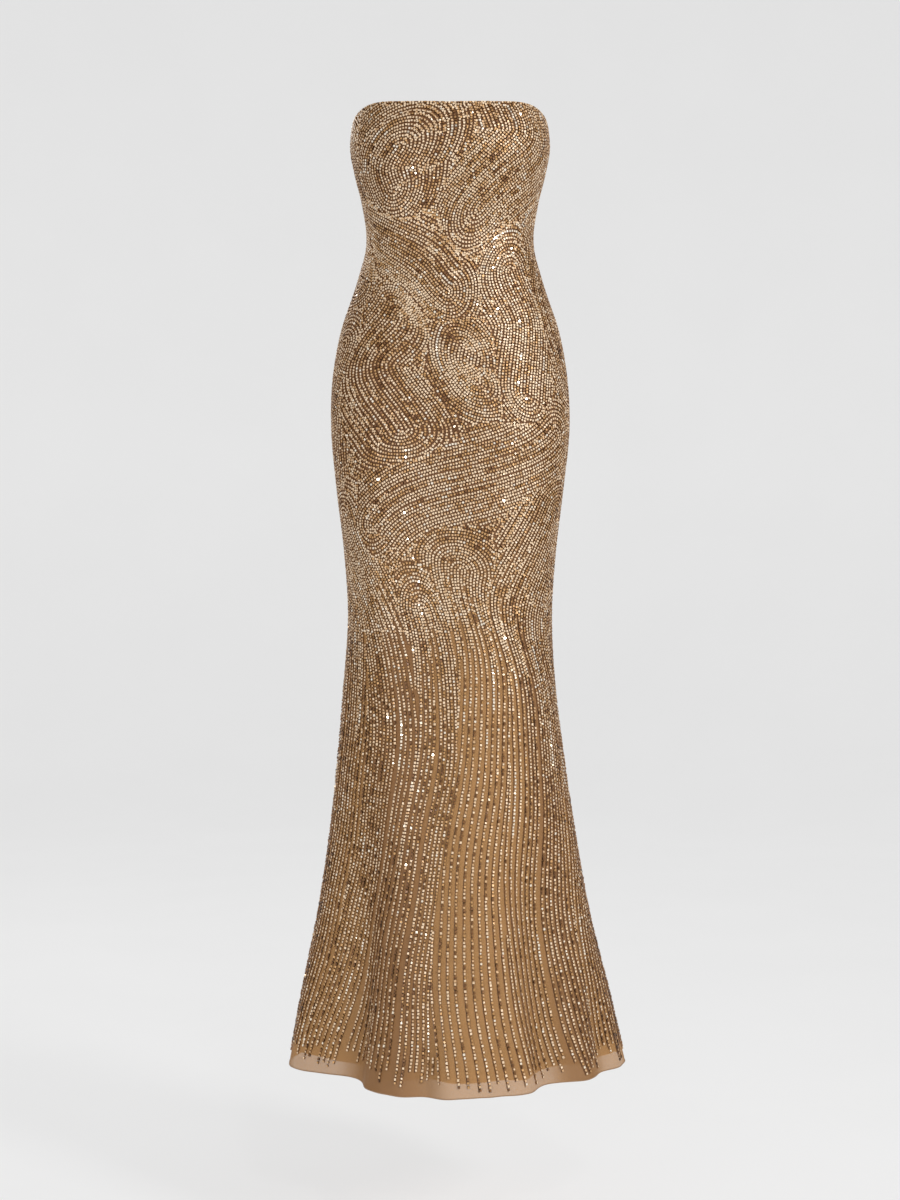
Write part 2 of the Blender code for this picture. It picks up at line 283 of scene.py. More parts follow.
def mesh_object(name, bm, materials):
    mesh = bpy.data.meshes.new(name)
    bm.to_mesh(mesh)
    bm.free()
    for material in materials:
        mesh.materials.append(material)
    mesh.shade_smooth()
    mesh.set_sharp_from_angle(angle=SHARP_ANGLE)
    return new_object(name, mesh)


def declare(obj, replaced=()):
    """Put a finished piece on the gown's body, in place of its solids."""
    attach(obj, BODY)
    if replaced:
        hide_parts(*replaced)


def border_of(columns, rows):
    """Grid places round the edge of a sheet, in order."""
    places = [(i, 0) for i in range(columns)]
    places += [(columns - 1, j) for j in range(1, rows)]
    places += [(i, rows - 1) for i in range(columns - 2, -1, -1)]
    return places + [(0, j) for j in range(rows - 2, 0, -1)]


def sheet_mesh(outer, inner, cloth_uv, cover):
    """Closed thin sheet between two grids of points, with a UV map in metres of cloth."""
    bm = bmesh.new()
    uv_layer = bm.loops.layers.uv.new("cloth")
    cover_layer = bm.verts.layers.float.new("cover")
    skins = []
    for grid in (outer, inner):
        skin = [[bm.verts.new(Vector(point) * MM) for point in column] for column in grid]
        for (i, j), amount in np.ndenumerate(cover):
            skin[i][j][cover_layer] = float(amount)
        skins.append(skin)

    def quad(*corners):
        face = bm.faces.new([skins[k][i][j] for k, i, j in corners])
        for loop, (_, i, j) in zip(face.loops, corners):
            loop[uv_layer].uv = cloth_uv[i][j]

    columns, rows = cover.shape
    for i in range(columns - 1):
        for j in range(rows - 1):
            quad((0, i, j), (0, i, j + 1), (0, i + 1, j + 1), (0, i + 1, j))
            quad((1, i, j), (1, i + 1, j), (1, i + 1, j + 1), (1, i, j + 1))
    border = border_of(columns, rows)
    for (i, j), (k, m) in zip(border, border[1:] + border[:1]):
        quad((0, i, j), (0, k, m), (1, k, m), (1, i, j))
    return bm


def loft_mesh(rings, closed=False, painted=()):
    """Closed skin over rings of points; the painted sides take the second material."""
    bm = bmesh.new()
    rings = [[bm.verts.new(Vector(point) * MM) for point in ring] for ring in rings]
    for one, other in zip(rings, rings[1:] + rings[:closed]):
        for k in range(len(one)):
            m = (k + 1) % len(one)
            face = bm.faces.new((one[k], one[m], other[m], other[k]))
            face.material_index = int(k in painted)
    if not closed:
        bm.faces.new(rings[0][::-1])
        bm.faces.new(rings[-1])
    bmesh.ops.recalc_face_normals(bm, faces=bm.faces)
    return bm


def tube_mesh(path, radius, closed, sides=6):
    """Tube along points in millimetres, its ends capped unless it joins up."""
    ahead = np.roll(path, -1, axis=0) - np.roll(path, 1, axis=0) if closed else np.gradient(path, axis=0)
    side = unit(np.cross(ahead, (0.0, 0.0, 1.0)))
    over = np.cross(side, unit(ahead))
    turns = 2 * math.pi * np.arange(sides)[:, None] / sides
    rings = path[:, None] + radius * (np.cos(turns) * side[:, None] + np.sin(turns) * over[:, None])
    return loft_mesh(rings, closed)


# -------------------------------------------------------------------------- materials

def srgb(hex_colour):
    """Linear colour of an sRGB hex value, with alpha 1."""
    parts = [int(hex_colour[i:i + 2], 16) / 255 for i in (0, 2, 4)]
    return tuple(p / 12.92 if p <= 0.04045 else ((p + 0.055) / 1.055) ** 2.4 for p in parts) + (1.0,)


def add_node(tree, kind, sockets=None, out=0, **settings):
    """Add a node, set or feed its input sockets, and give back one of its outputs."""
    node = tree.nodes.new(kind)
    for key, value in settings.items():
        setattr(node, key, value)
    for socket, value in (sockets or {}).items():
        if isinstance(value, bpy.types.NodeSocket):
            tree.links.new(value, node.inputs[socket])
        else:
            node.inputs[socket].default_value = value
    return node if out is None else node.outputs[out]


def add_math(tree, operation, one, other, **settings):
    return add_node(tree, "ShaderNodeMath", {0: one, 1: other}, operation=operation, **settings)


def mix_colours(tree, factor, one, other):
    # A Mix node's colour sockets come after its float and vector ones.
    return add_node(tree, "ShaderNodeMix", {"Factor": factor, 6: one, 7: other}, out=2, data_type="RGBA")


def attribute(tree, name):
    return add_node(tree, "ShaderNodeAttribute", out="Fac", attribute_name=name)


def noise(tree, place, scale, detail):
    return add_node(tree, "ShaderNodeTexNoise", {"Vector": place, "Scale": scale, "Detail": detail})


def new_material(name, **sockets):
    """Principled material with its even values set on the shader."""
    material = bpy.data.materials.new(name)
    material.use_nodes = True
    shader = material.node_tree.nodes["Principled BSDF"].inputs
    for socket, value in sockets.items():
        shader[socket.replace("_", " ")].default_value = value
    return material, material.node_tree, shader


def feed(tree, shader, socket, source):
    tree.links.new(source, shader[socket])


def colour_drift(tree, shader, base, other, grain):
    """Base colour that drifts between two colours over patches of a size in millimetres."""
    place = add_node(tree, "ShaderNodeTexCoord", out="Object")
    spread = add_node(tree, "ShaderNodeMapRange", {"Value": noise(tree, place, 1.0 / (grain * MM), 2.0),
                                                   "From Min": 0.35, "From Max": 0.65})
    drift = mix_colours(tree, spread, base, other)
    feed(tree, shader, "Base Color", drift)
    return place, drift


def bump(tree, shader, height, strength, depth):
    """Fine relief, its depth in millimetres."""
    sockets = {"Height": height, "Strength": strength, "Distance": depth * MM}
    feed(tree, shader, "Normal", add_node(tree, "ShaderNodeBump", sockets))


NET_PITCH = 1.3 * MM        # a real hole is about 0.8 mm; drawn coarse, so that it shows
WEAVE_PITCH = 0.9 * MM      # a real thread is 0.15 mm; drawn coarse, so that it shows
SHUT_BY_BEADS = 0.55        # how much more the net hides under dense beads
HOLE_VEIL, THREAD_VEIL = 0.7, 1.45      # veil in a hole and on a thread, over the mean one
THREAD_STARTS = 0.4         # value of the waves at which a thread starts


def tulle_material(finish):
    """Silk tulle: a fine hexagonal net, so it veils what is behind it and is matt.

    The sheet has two skins, which hide what is behind it as much as one layer of net does."""
    colour = tuple(finish.tulle_colour)
    material, tree, shader = new_material("silk_tulle", Roughness=0.7, Sheen_Weight=0.12, Sheen_Tint=colour)
    uv = add_node(tree, "ShaderNodeUVMap", uv_map="cloth")
    lines = []
    for turn in (0.0, 60.0, 120.0):
        turned = add_node(tree, "ShaderNodeMapping",
                          {"Vector": uv, "Rotation": (0.0, 0.0, math.radians(turn)),
                           "Scale": (1 / NET_PITCH, 1 / NET_PITCH, 1.0)})
        lines.append(add_node(tree, "ShaderNodeTexWave",
                              {"Vector": turned, "Scale": 1.0 / 3.0, "Distortion": 0.4}, out="Fac"))
    net = add_math(tree, "MAXIMUM", add_math(tree, "MAXIMUM", lines[0], lines[1]), lines[2])
    skin_veil = 1 - math.sqrt(1 - finish.veil)
    veil = add_node(tree, "ShaderNodeMapRange", {"Value": net, "From Min": THREAD_STARTS,
                                                 "To Min": skin_veil * HOLE_VEIL,
                                                 "To Max": min(1.0, skin_veil * THREAD_VEIL)})
    cover = attribute(tree, "cover")
    # Under dense beads the net takes a darker colour: partly the beadwork's thread, partly painted shade
    # between the beads.
    feed(tree, shader, "Base Color", mix_colours(tree, cover, colour, tuple(finish.thread_and_shade_colour)))
    # Under dense beads the thread of the beadwork closes the net.
    shut = add_math(tree, "MULTIPLY", cover, SHUT_BY_BEADS)
    feed(tree, shader, "Alpha", add_math(tree, "ADD", veil, shut, use_clamp=True))
    return material


def satin_material(finish):
    """Polyester satin, dull side out: a soft broad sheen over a very fine weave."""
    material, tree, shader = new_material("polyester_satin", Roughness=0.42, Sheen_Weight=0.15)
    place, _ = colour_drift(tree, shader, tuple(finish.satin_colour), tuple(finish.satin_shade), 60.0)
    uv = add_node(tree, "ShaderNodeUVMap", uv_map="cloth")
    scaled = add_node(tree, "ShaderNodeMapping",
                      {"Vector": uv, "Scale": (1 / WEAVE_PITCH, 0.35 / WEAVE_PITCH, 1.0)})
    weave, slub = noise(tree, scaled, 1.0, 3.0), noise(tree, place, 45.0, 2.0)
    bump(tree, shader, add_math(tree, "ADD", weave, slub), 0.25, 0.15)
    return material


BeadFinish = namedtuple("BeadFinish", "name base other rim roughness metallic coat share")
# From light to dark, with each one's share of the beads; the crystals come last and are
# set over the others. The beads' finish numbers count down this table.
# The fourth colour of each finish is painted shade, which the material puts on a bead's sides.
BEAD_FINISHES = (
    BeadFinish("champagne_lined_glass", "E2CAAC", "D0B18C", "845B33", 0.45, 0.20, 0.12, 0.50),
    BeadFinish("sand_lined_glass", "CCAA82", "B89065", "744E2B", 0.45, 0.22, 0.12, 0.28),
    BeadFinish("gold_lined_glass", "C19765", "A77C4A", "694622", 0.40, 0.38, 0.18, 0.16),
    BeadFinish("bronze_cut_glass", "85592D", "68421F", "452C14", 0.40, 0.30, 0.12, 0.06),
    BeadFinish("foiled_crystal", "FFF3E0", "F8E6CC", "C9AC88", 0.16, 0.70, 0.60, 0.0),
)


def bead_material(finish):
    """Cut glass bead with a metal lining: a warm metallic glow under a clear glass skin.

    Its sides are painted darker than its flat top: painted shade where they turn away from the light."""
    material, tree, shader = new_material(finish.name, Roughness=finish.roughness, Metallic=finish.metallic,
                                          Coat_Weight=finish.coat, Coat_Roughness=0.06)
    _, drift = colour_drift(tree, shader, srgb(finish.base), srgb(finish.other), 5.0)
    # Painted shade: the marked sides take the darker colour, as if turned away from the light.
    feed(tree, shader, "Base Color", mix_colours(tree, attribute(tree, "side"), drift, srgb(finish.rim)))
    return material


def thread_material(name, colour, shade):
    """Spun polyester thread or woven tape: matt, with a slight fuzz."""
    material, tree, shader = new_material(name, Roughness=0.75, Sheen_Weight=0.3)
    place, _ = colour_drift(tree, shader, srgb(colour), srgb(shade), 1.5)
    bump(tree, shader, noise(tree, place, 1 / (0.6 * MM), 3.0), 0.4, 0.1)
    return material


def nylon_material(name, colour, shade):
    """Moulded nylon monofilament: smooth and slightly waxy."""
    material, tree, shader = new_material(name, Roughness=0.38, IOR=1.53)
    colour_drift(tree, shader, srgb(colour), srgb(shade), 8.0)
    return material


def brass_material():
    """Gold-plated, tumbled brass: bright, with faint wear that dulls it in patches."""
    material, tree, shader = new_material("plated_brass", Metallic=1.0)
    place, _ = colour_drift(tree, shader, srgb("D4AF6F"), srgb("C49D5E"), 4.0)
    wear = noise(tree, place, 1 / (1.2 * MM), 4.0)
    feed(tree, shader, "Roughness",
         add_node(tree, "ShaderNodeMapRange", {"Value": wear, "To Min": 0.18, "To Max": 0.32}))
    return material


def paper_material():
    """Seamless studio paper: matt and pale, lifted by a little light of its own to be even."""
    material, tree, shader = new_material("studio_paper", Roughness=0.9, Emission_Strength=0.543,
                                          Emission_Color=(1.0, 1.0, 1.0, 1.0))
    colour_drift(tree, shader, srgb("979797"), srgb("959595"), 400.0)
    return material


# ----------------------------------------------------------------------- cloth panels

Panel = namedtuple("Panel", "suffix first_seam last_seam columns")
PANELS = (
    Panel("front", -SIDE_SEAM, SIDE_SEAM, 76),
    Panel("back_left", SIDE_SEAM, CENTRE_BACK, 38),
    Panel("back_right", -CENTRE_BACK, -SIDE_SEAM, 38),
)
ROW_COUNT = 96
ROW_CROWDING = 1.25         # more rows near the hem, where the ripples are

Layer = namedtuple("Layer", "name solid slot other_layer hem beside_zip inset beaded")
SATIN = Layer("satin_", "lining_", "lining_satin", "tulle_", lining_hem, TAPE_SLOT, lining_inset, False)
TULLE = Layer("tulle_", "shell_", "beaded_tulle", "satin_", tulle_hem, COIL_SLOT,
              lambda height: TULLE_INSET, True)


def edge_angles(seam, beside_zip, heights):
    """Angles of a panel's edge: at a side seam, or beside the zip at the centre back."""
    gap = np.full(len(heights), SEAM_HALF_GAP)
    if abs(seam) == CENTRE_BACK:
        closed = smooth_step((ZIP_BOTTOM - heights) / ZIP_CLOSING)
        gap = beside_zip + (SEAM_HALF_GAP - beside_zip) * closed
    return np.degrees(gap / ring_radius(np.full(len(heights), seam), heights))


def panel_grid(panel, layer):
    """Angles and heights of a panel's points, as [column][row] arrays."""
    share_down = 1 - (1 - np.linspace(0, 1, ROW_COUNT)) ** ROW_CROWDING

    def heights_at(angle):
        return top_height(angle) + (layer.hem(angle) - top_height(angle)) * share_down

    first, last = [seam + inwards * edge_angles(seam, layer.beside_zip, heights_at(seam))
                   for seam, inwards in ((panel.first_seam, 1), (panel.last_seam, -1))]
    angles = first + (last - first) * np.linspace(0, 1, panel.columns + 1)[:, None]
    return angles, heights_at(angles)


def cloth_uv(points):
    """UV of a grid in metres of cloth: across from the middle column, down from the top."""
    across = run_along(points, 0)
    return np.stack([across - across[len(points) // 2], -run_along(points, 1)], axis=-1) * MM


def lay_cloth(layer, thickness, material):
    """The front and the two back halves of one layer of cloth."""
    for panel in PANELS:
        angles, heights = panel_grid(panel, layer)
        inset = layer.inset(heights)
        outer = layer_point(angles, heights, inset)
        inner = layer_point(angles, heights, inset + thickness / MM)
        cover = bead_cover(angles, heights) if layer.beaded else np.zeros(angles.shape)
        obj = mesh_object(layer.name + panel.suffix, sheet_mesh(outer, inner, cloth_uv(outer), cover),
                          [material])
        declare(obj, [layer.solid + panel.suffix])


# ------------------------------------------------------------- things set along a path

Points = namedtuple("Points", "place up along size kind finish")
POINT_LAYERS = {"up": "FLOAT_VECTOR", "along": "FLOAT_VECTOR", "size": "FLOAT_VECTOR",
                "kind": "INT", "finish": "INT"}


def new_tree(name, *inputs):
    """Geometry Nodes tree with named inputs, and the sockets that give them."""
    tree = bpy.data.node_groups.new(name, "GeometryNodeTree")
    tree.is_modifier = True
    face = tree.interface
    face.new_socket("Geometry", in_out="INPUT", socket_type="NodeSocketGeometry")
    for label, kind, value in inputs:
        face.new_socket(label, in_out="INPUT", socket_type=kind).default_value = value
    face.new_socket("Geometry", in_out="OUTPUT", socket_type="NodeSocketGeometry")
    return tree, add_node(tree, "NodeGroupInput", out=None).outputs


def unit_shape(tree, taper, sides, foot, turn):
    """Shape one unit across that narrows towards its top, its sides marked for the beads' painted shade."""
    cone = add_node(tree, "GeometryNodeMeshCone",
                    {"Vertices": sides, "Radius Bottom": foot, "Depth": 1.0,
                     "Radius Top": add_math(tree, "MULTIPLY", taper, foot)}, out=None).outputs
    # The sides are marked so that the bead material can paint them in shade.
    marked = add_node(tree, "GeometryNodeStoreNamedAttribute",
                      {"Name": "side", "Geometry": cone["Mesh"], "Value": cone["Side"]},
                      data_type="FLOAT", domain="FACE")
    return add_node(tree, "GeometryNodeTransform", {"Geometry": marked, "Rotation": (0.0, 0.0, turn)})


def set_on_points_tree(name, finishes):
    """Geometry Nodes: a cut bead or a round spangle on each point, in its own finish.

    Points carry up, along, size, kind and finish. A bead's foot is on its point."""
    tree, given = new_tree(name, ("Top taper", "NodeSocketFloat", 0.78),
                           ("Wobble", "NodeSocketFloat", 0.2), ("Seed", "NodeSocketInt", 3))

    def stored(label):
        return add_node(tree, "GeometryNodeInputNamedAttribute", {"Name": label}, out="Attribute",
                        data_type=POINT_LAYERS[label])

    bead = unit_shape(tree, given["Top taper"], 4, math.sqrt(0.5), math.pi / 4)
    spangle = unit_shape(tree, given["Top taper"], 6, 0.5, 0.0)
    choice = add_node(tree, "GeometryNodeGeometryToInstance", out=None)
    # The last one linked comes first, so the cut bead is linked last to be number 0.
    for shape in (spangle, bead):
        tree.links.new(shape, choice.inputs[0])
    stand = add_node(tree, "FunctionNodeAxesToRotation",
                     {"Primary Axis": stored("up"), "Secondary Axis": stored("along")},
                     primary_axis="Z", secondary_axis="X")
    tilt = add_node(tree, "FunctionNodeRandomValue",
                    {"Min": add_math(tree, "MULTIPLY", given["Wobble"], -1.0), "Max": given["Wobble"],
                     "Seed": given["Seed"]}, data_type="FLOAT_VECTOR")
    turn = add_node(tree, "FunctionNodeEulerToRotation", {"Euler": tilt})
    tilted = add_node(tree, "FunctionNodeRotateRotation", {"Rotation": stand, "Rotate By": turn},
                      rotation_space="LOCAL")
    instances = add_node(tree, "GeometryNodeInstanceOnPoints",
                         {"Points": given["Geometry"], "Instance": choice.outputs[0],
                          "Pick Instance": True, "Instance Index": stored("kind"),
                          "Rotation": tilted, "Scale": stored("size")})
    shape = add_node(tree, "GeometryNodeRealizeInstances", {"Geometry": instances})
    for number, material in enumerate(finishes):
        # Sockets 2 and 3 are the Compare node's whole numbers.
        same = add_node(tree, "FunctionNodeCompare", {2: stored("finish"), 3: number},
                        data_type="INT", operation="EQUAL")
        shape = add_node(tree, "GeometryNodeSetMaterial",
                         {"Geometry": shape, "Selection": same, "Material": material})
    add_node(tree, "NodeGroupOutput", {0: shape}, out=None)
    return tree


def plain_mesh_of(obj, tree, **inputs):
    """Run the tree on the object and keep its result as a plain mesh."""
    modifier = obj.modifiers.new("made_along", "NODES")
    modifier.node_group = tree
    for item in tree.interface.items_tree:
        if item.item_type == "SOCKET" and item.in_out == "INPUT" and item.name in inputs:
            modifier[item.identifier] = inputs[item.name]
    made = bpy.data.meshes.new_from_object(obj.evaluated_get(bpy.context.evaluated_depsgraph_get()))
    made.name = obj.name
    obj.modifiers.remove(modifier)
    source, obj.data = obj.data, made
    bpy.data.meshes.remove(source)
    return obj


def set_on_points(name, points, tree, **inputs):
    """One plain mesh of the shapes that the tree sets on the points."""
    mesh = bpy.data.meshes.new(name + "_points")
    mesh.vertices.add(len(points.place))
    mesh.vertices.foreach_set("co", (points.place * MM).ravel())
    for label, kind in POINT_LAYERS.items():
        values = getattr(points, label)
        data = mesh.attributes.new(label, kind, "POINT").data
        if kind == "INT":
            data.foreach_set("value", values.astype(np.int32))
        else:
            data.foreach_set("vector", values.ravel())
    obj = plain_mesh_of(new_object(name, mesh), tree, **inputs)
    layers = obj.data.attributes
    for label in POINT_LAYERS:
        if label in layers:
            layers.remove(layers[label])
    return obj


def even_steps(angles, heights, inset, pitch, start):
    """Angles and heights at even steps along a line on the cloth."""
    run = run_along(layer_point(angles, heights, inset))
    where = np.arange(start, run[-1], pitch)
    return np.interp(where, run, angles), np.interp(where, run, heights)


def points_on_cloth(angles, heights, inset, size):
    """Points of one size, in the first finish, that run on along their own order."""
    place = layer_point(angles, heights, inset)
    total = len(angles)
    return Points(place, surface_normal(angles, heights), np.gradient(place, axis=0),
                  np.tile(np.array(size) * MM, (total, 1)), np.zeros(total, int), np.zeros(total, int))


# -------------------------------------------------------------------------- beadwork

# Each motif is a nest of rows round a spine that runs from its head, past its bend, to
# its foot. Across is measured round half the body and reaches SPREAD at the centre back.
# A nest whose foot lies below the hem opens into strands that fall down the skirt.
SPREAD = 430.0
BELOW_HEM = -1400
Motif = namedtuple("Motif", "head_across head_height bend_across bend_height foot_across foot_height")
MOTIFS = (
    Motif(-78, -6, -90, -34, -82, -58),             # round nest on the right bust
    Motif(60, -112, 122, -34, 92, 80),              # left bust, open to the top edge
    Motif(-158, -122, -62, -150, 20, -212),         # sweep across the waist
    Motif(124, -208, 142, -276, 92, -360),          # leaf over the left hip
    Motif(-84, -262, -136, -350, -72, -446),        # leaf over the right hip
    Motif(20, -296, 6, -318, 16, -342),             # round nest between them
    Motif(130, -420, 40, -476, -90, -580),          # sweep across the thighs
    Motif(150, -520, 112, -800, 146, BELOW_HEM),
    Motif(-152, -560, -96, -860, -118, BELOW_HEM),
    Motif(40, -640, 14, -880, 34, BELOW_HEM),
    Motif(-44, -700, -40, -920, -40, BELOW_HEM),
    Motif(-206, -24, -184, -120, -196, -214),       # ovals down the right side
    Motif(-188, -318, -204, -420, -190, -500),
    Motif(-206, -640, -192, -900, -196, BELOW_HEM),
    Motif(208, -156, 192, -250, 202, -352),         # ovals down the left side
    Motif(206, -440, 190, -520, 204, -590),
    Motif(212, -690, 206, -900, 222, BELOW_HEM),
    Motif(290, -86, 302, -30, 300, 60),             # back, left half
    Motif(310, -200, 334, -290, 308, -380),
    Motif(402, -120, 388, -190, 396, -262),
    Motif(398, -350, 382, -450, 398, -540),
    Motif(300, -500, 286, -800, 300, BELOW_HEM),
    Motif(392, -640, 376, -900, 384, BELOW_HEM),
    Motif(-296, -70, -316, -160, -292, -250),       # back, right half
    Motif(-394, -60, -386, -130, -396, -210),
    Motif(-398, -300, -370, -380, -386, -470),
    Motif(-296, -350, -318, -430, -290, -500),
    Motif(-376, -560, -384, -800, -376, BELOW_HEM),
    Motif(-290, -590, -276, -880, -288, BELOW_HEM),
)
SPINE_STEP = 3.0
PATH_STEP = 2.5
FIRST_ROW = 0.55            # share of the row gap from a spine to its first row
FARTHEST_ROW = 190.0
# Of these pairs the first holds on the body and the second in the skirt.
CREASE = (2.0, -1.6)        # how much nearer its own spine a row has to lie
REACH_SLACK = (0.8, 3.0)    # how far a row may be from its reach
ROW_GROUP = (2, 5)          # rows in a group, at least and below
# Limits of the random shares of a gap that stand between two rows, groups and strands.
ROW_GAPS, GROUP_GAPS, STRAND_GAPS = (0.97, 1.05), (0.2, 1.8), (0.92, 1.08)
ZIP_MARGIN = 5.0            # bare cloth on either side of the zip
SEAM_MARGIN = 1.0           # and of the seam below it

Band = namedtuple("Band", "across half_width crowding")
# Rows above the knee run on into strands down the skirt. Strands stand this far apart,
# closer together in a dense band and further apart in one whose crowding is negative.
STRAND_GAP = 8.4
BANDS = (
    Band(-74, 54, 0.66),
    Band(-164, 26, -0.22),
    Band(134, 26, 0.60),
    Band(-214, 22, 0.45),
    Band(228, 28, 0.45),
    Band(318, 40, 0.60),
    Band(-330, 40, 0.60),
)
BAND_COVER = 0.7            # how far the densest band covers the net and darkens it with painted shade
CLOSED_ABOVE, BARE_BELOW = -540.0, -800.0       # where beads stop covering the net
ROWS_THIN_OUT = (-640.0, -880.0)
STRANDS_START = (-690.0, -880.0)
ROWS_END_AT = (-1332.0, -1360.0)
SKIRT_FROM, SKIRT_RAMP = -620.0, 260.0

# How far the whole pattern sways sideways and lifts, and how far a row wavers by hand.
SWAY, SKIRT_SWAY, LIFT, WAVER = 25.0, 22.0, 19.0, 1.2
SWAY_FADES_WITHIN = 90      # of the centre back

MAP_TOP = 66                # above the top edge
MAP_LEVEL, GIRTH_LEVEL = 6.0, 12.0
MAP_SHARES = 240            # steps of the map round half the body


def between(limits, share):
    return limits[0] + (limits[1] - limits[0]) * share


def in_skirt(height):
    """0 on the body, rising to 1 down in the skirt."""
    return smooth_step((SKIRT_FROM - height) / SKIRT_RAMP)


def crowding_at(across):
    """How much the bands crowd the strands at a place across the skirt."""
    return sum(band.crowding * np.exp(-((across - band.across) / band.half_width) ** 4) for band in BANDS)


def half_runs(levels, turns):
    """Way round half the body to each turn, in a row for each level."""
    return run_along(surface_point(*np.meshgrid(turns, levels)), 1)


def body_map():
    """Levels, and a table of the angle at each level and even share of the way round."""
    levels = np.arange(HEM_HEIGHT - MAP_LEVEL, MAP_TOP, MAP_LEVEL)
    turns = np.arange(0, 181.0)
    shares = np.linspace(0, 1, MAP_SHARES + 1)
    right, left = [np.array([sign * np.interp(shares, run / run[-1], turns)
                             for run in half_runs(levels, sign * turns)]) for sign in (-1, 1)]
    return levels, np.concatenate([right[:, :0:-1], left], axis=1)


def half_girth(height):
    """Half of the way round the body at a height."""
    levels = np.arange(HEM_HEIGHT, MAP_TOP, GIRTH_LEVEL)
    return np.interp(height, levels, half_runs(levels, np.arange(0, 181, 3.0))[:, -1])


def angle_at(across, height, body):
    """Angle on the body of a place in the pattern."""
    levels, table = body
    row = np.clip((height - levels[0]) / MAP_LEVEL, 0, len(levels) - 1.001)
    column = MAP_SHARES * (1 + np.clip(across / SPREAD, -0.9999, 0.9999))
    i, j = row.astype(int), column.astype(int)
    a, b = row - i, column - j
    return ((1 - a) * ((1 - b) * table[i, j] + b * table[i, j + 1])
            + a * ((1 - b) * table[i + 1, j] + b * table[i + 1, j + 1]))


def across_at(angles, heights, body):
    """Place across the pattern of points on the body."""
    levels, table = body
    rows = np.rint((heights - levels[0]) / MAP_LEVEL).clip(0, len(levels) - 1).astype(int)
    places = np.linspace(-SPREAD, SPREAD, table.shape[1])
    found = [np.interp(angle, table[row], places) for angle, row in zip(angles.ravel(), rows.ravel())]
    return np.array(found).reshape(angles.shape)


def bead_cover(angles, heights):
    """How densely beads cover the cloth, and so how far the net is darkened with painted shade between them:
    1 on the body, less in the skirt but for its bands.
    """
    on_body = smooth_step((heights - BARE_BELOW) / (CLOSED_ABOVE - BARE_BELOW))
    densest = max(band.crowding for band in BANDS)
    crowded = crowding_at(across_at(angles, heights, body_map())) / densest
    return np.maximum(on_body, BAND_COVER * np.clip(crowded, 0, 1))


def spine_line(motif):
    """Points of a motif's spine, from its head to its foot."""
    heights, across = zip(*sorted(((motif.head_height, motif.head_across),
                                   (motif.bend_height, motif.bend_across),
                                   (motif.foot_height, motif.foot_across))))
    count = max(4, int(abs(motif.head_height - motif.foot_height) / SPINE_STEP))
    down = np.linspace(motif.head_height, motif.foot_height, count)
    return np.stack([smooth_curve(heights, across, down), down], axis=1)


def row_path(line, reach, closed, low_reach):
    """Points of the row at a reach from a spine, with their leg (-1, 0 at an end, 1) and reach.

    Down the skirt each leg eases over to a reach of its own."""
    along = unit(np.gradient(line, axis=0))
    side = np.stack([-along[:, 1], along[:, 0]], axis=1)
    turn = np.linspace(0, math.pi, max(8, int(math.pi * reach / PATH_STEP)))[1:-1, None]
    ease = in_skirt(line[:, 1])
    one, other = [reach + (low_reach[leg] - reach) * ease for leg in (1, -1)]
    parts = [((line + side * one[:, None])[::-1], 1, one[::-1]),
             (line[0] + reach * (side[0] * np.cos(turn) - along[0] * np.sin(turn)), 0, reach),
             (line - side * other[:, None], -1, other)]
    if closed:
        parts.append((line[-1] + reach * (-side[-1] * np.cos(turn) + along[-1] * np.sin(turn)), 0, reach))
    legs = [np.full(len(points), leg) for points, leg, _ in parts]
    reaches = [np.broadcast_to(far, len(points)) for points, _, far in parts]
    return np.concatenate([part[0] for part in parts]), np.concatenate(legs), np.concatenate(reaches)


def tree_of(points):
    tree = KDTree(len(points))
    for number, (x, y) in enumerate(points):
        tree.insert((x, y, 0.0), number)
    tree.balance()
    return tree


def nearest(tree, points):
    """Distance from each point to the nearest one in the tree."""
    return np.array([tree.find((x, y, 0.0))[2] for x, y in points])


def split_runs(path, clear):
    """Stretches of a path where clear is true, of at least three points."""
    edges = np.flatnonzero(np.diff(np.concatenate([[0], clear.astype(int), [0]])))
    return [path[start:end] for start, end in zip(edges[::2], edges[1::2]) if end - start > 2]


def row_reaches(gap, group_gap, rng):
    """Reaches of the rows from a spine, in groups that stand a little apart."""
    reaches = []
    reach = gap * FIRST_ROW
    while reach < FARTHEST_ROW:
        for _ in range(rng.integers(*ROW_GROUP)):
            reaches.append(reach)
            reach += gap * rng.uniform(*ROW_GAPS)
        reach += (group_gap - gap) * rng.uniform(*GROUP_GAPS)
    return np.array(reaches)


def strand_reaches(foot_across, leg, rng):
    """Reaches of the strands on one side of a spine, down in the skirt."""
    reaches = []
    reach = STRAND_GAP * FIRST_ROW
    while reach < FARTHEST_ROW:
        reaches.append(reach)
        across = foot_across - leg * reach
        reach += STRAND_GAP / (1 + crowding_at(across)) * rng.uniform(*STRAND_GAPS)
    return reaches


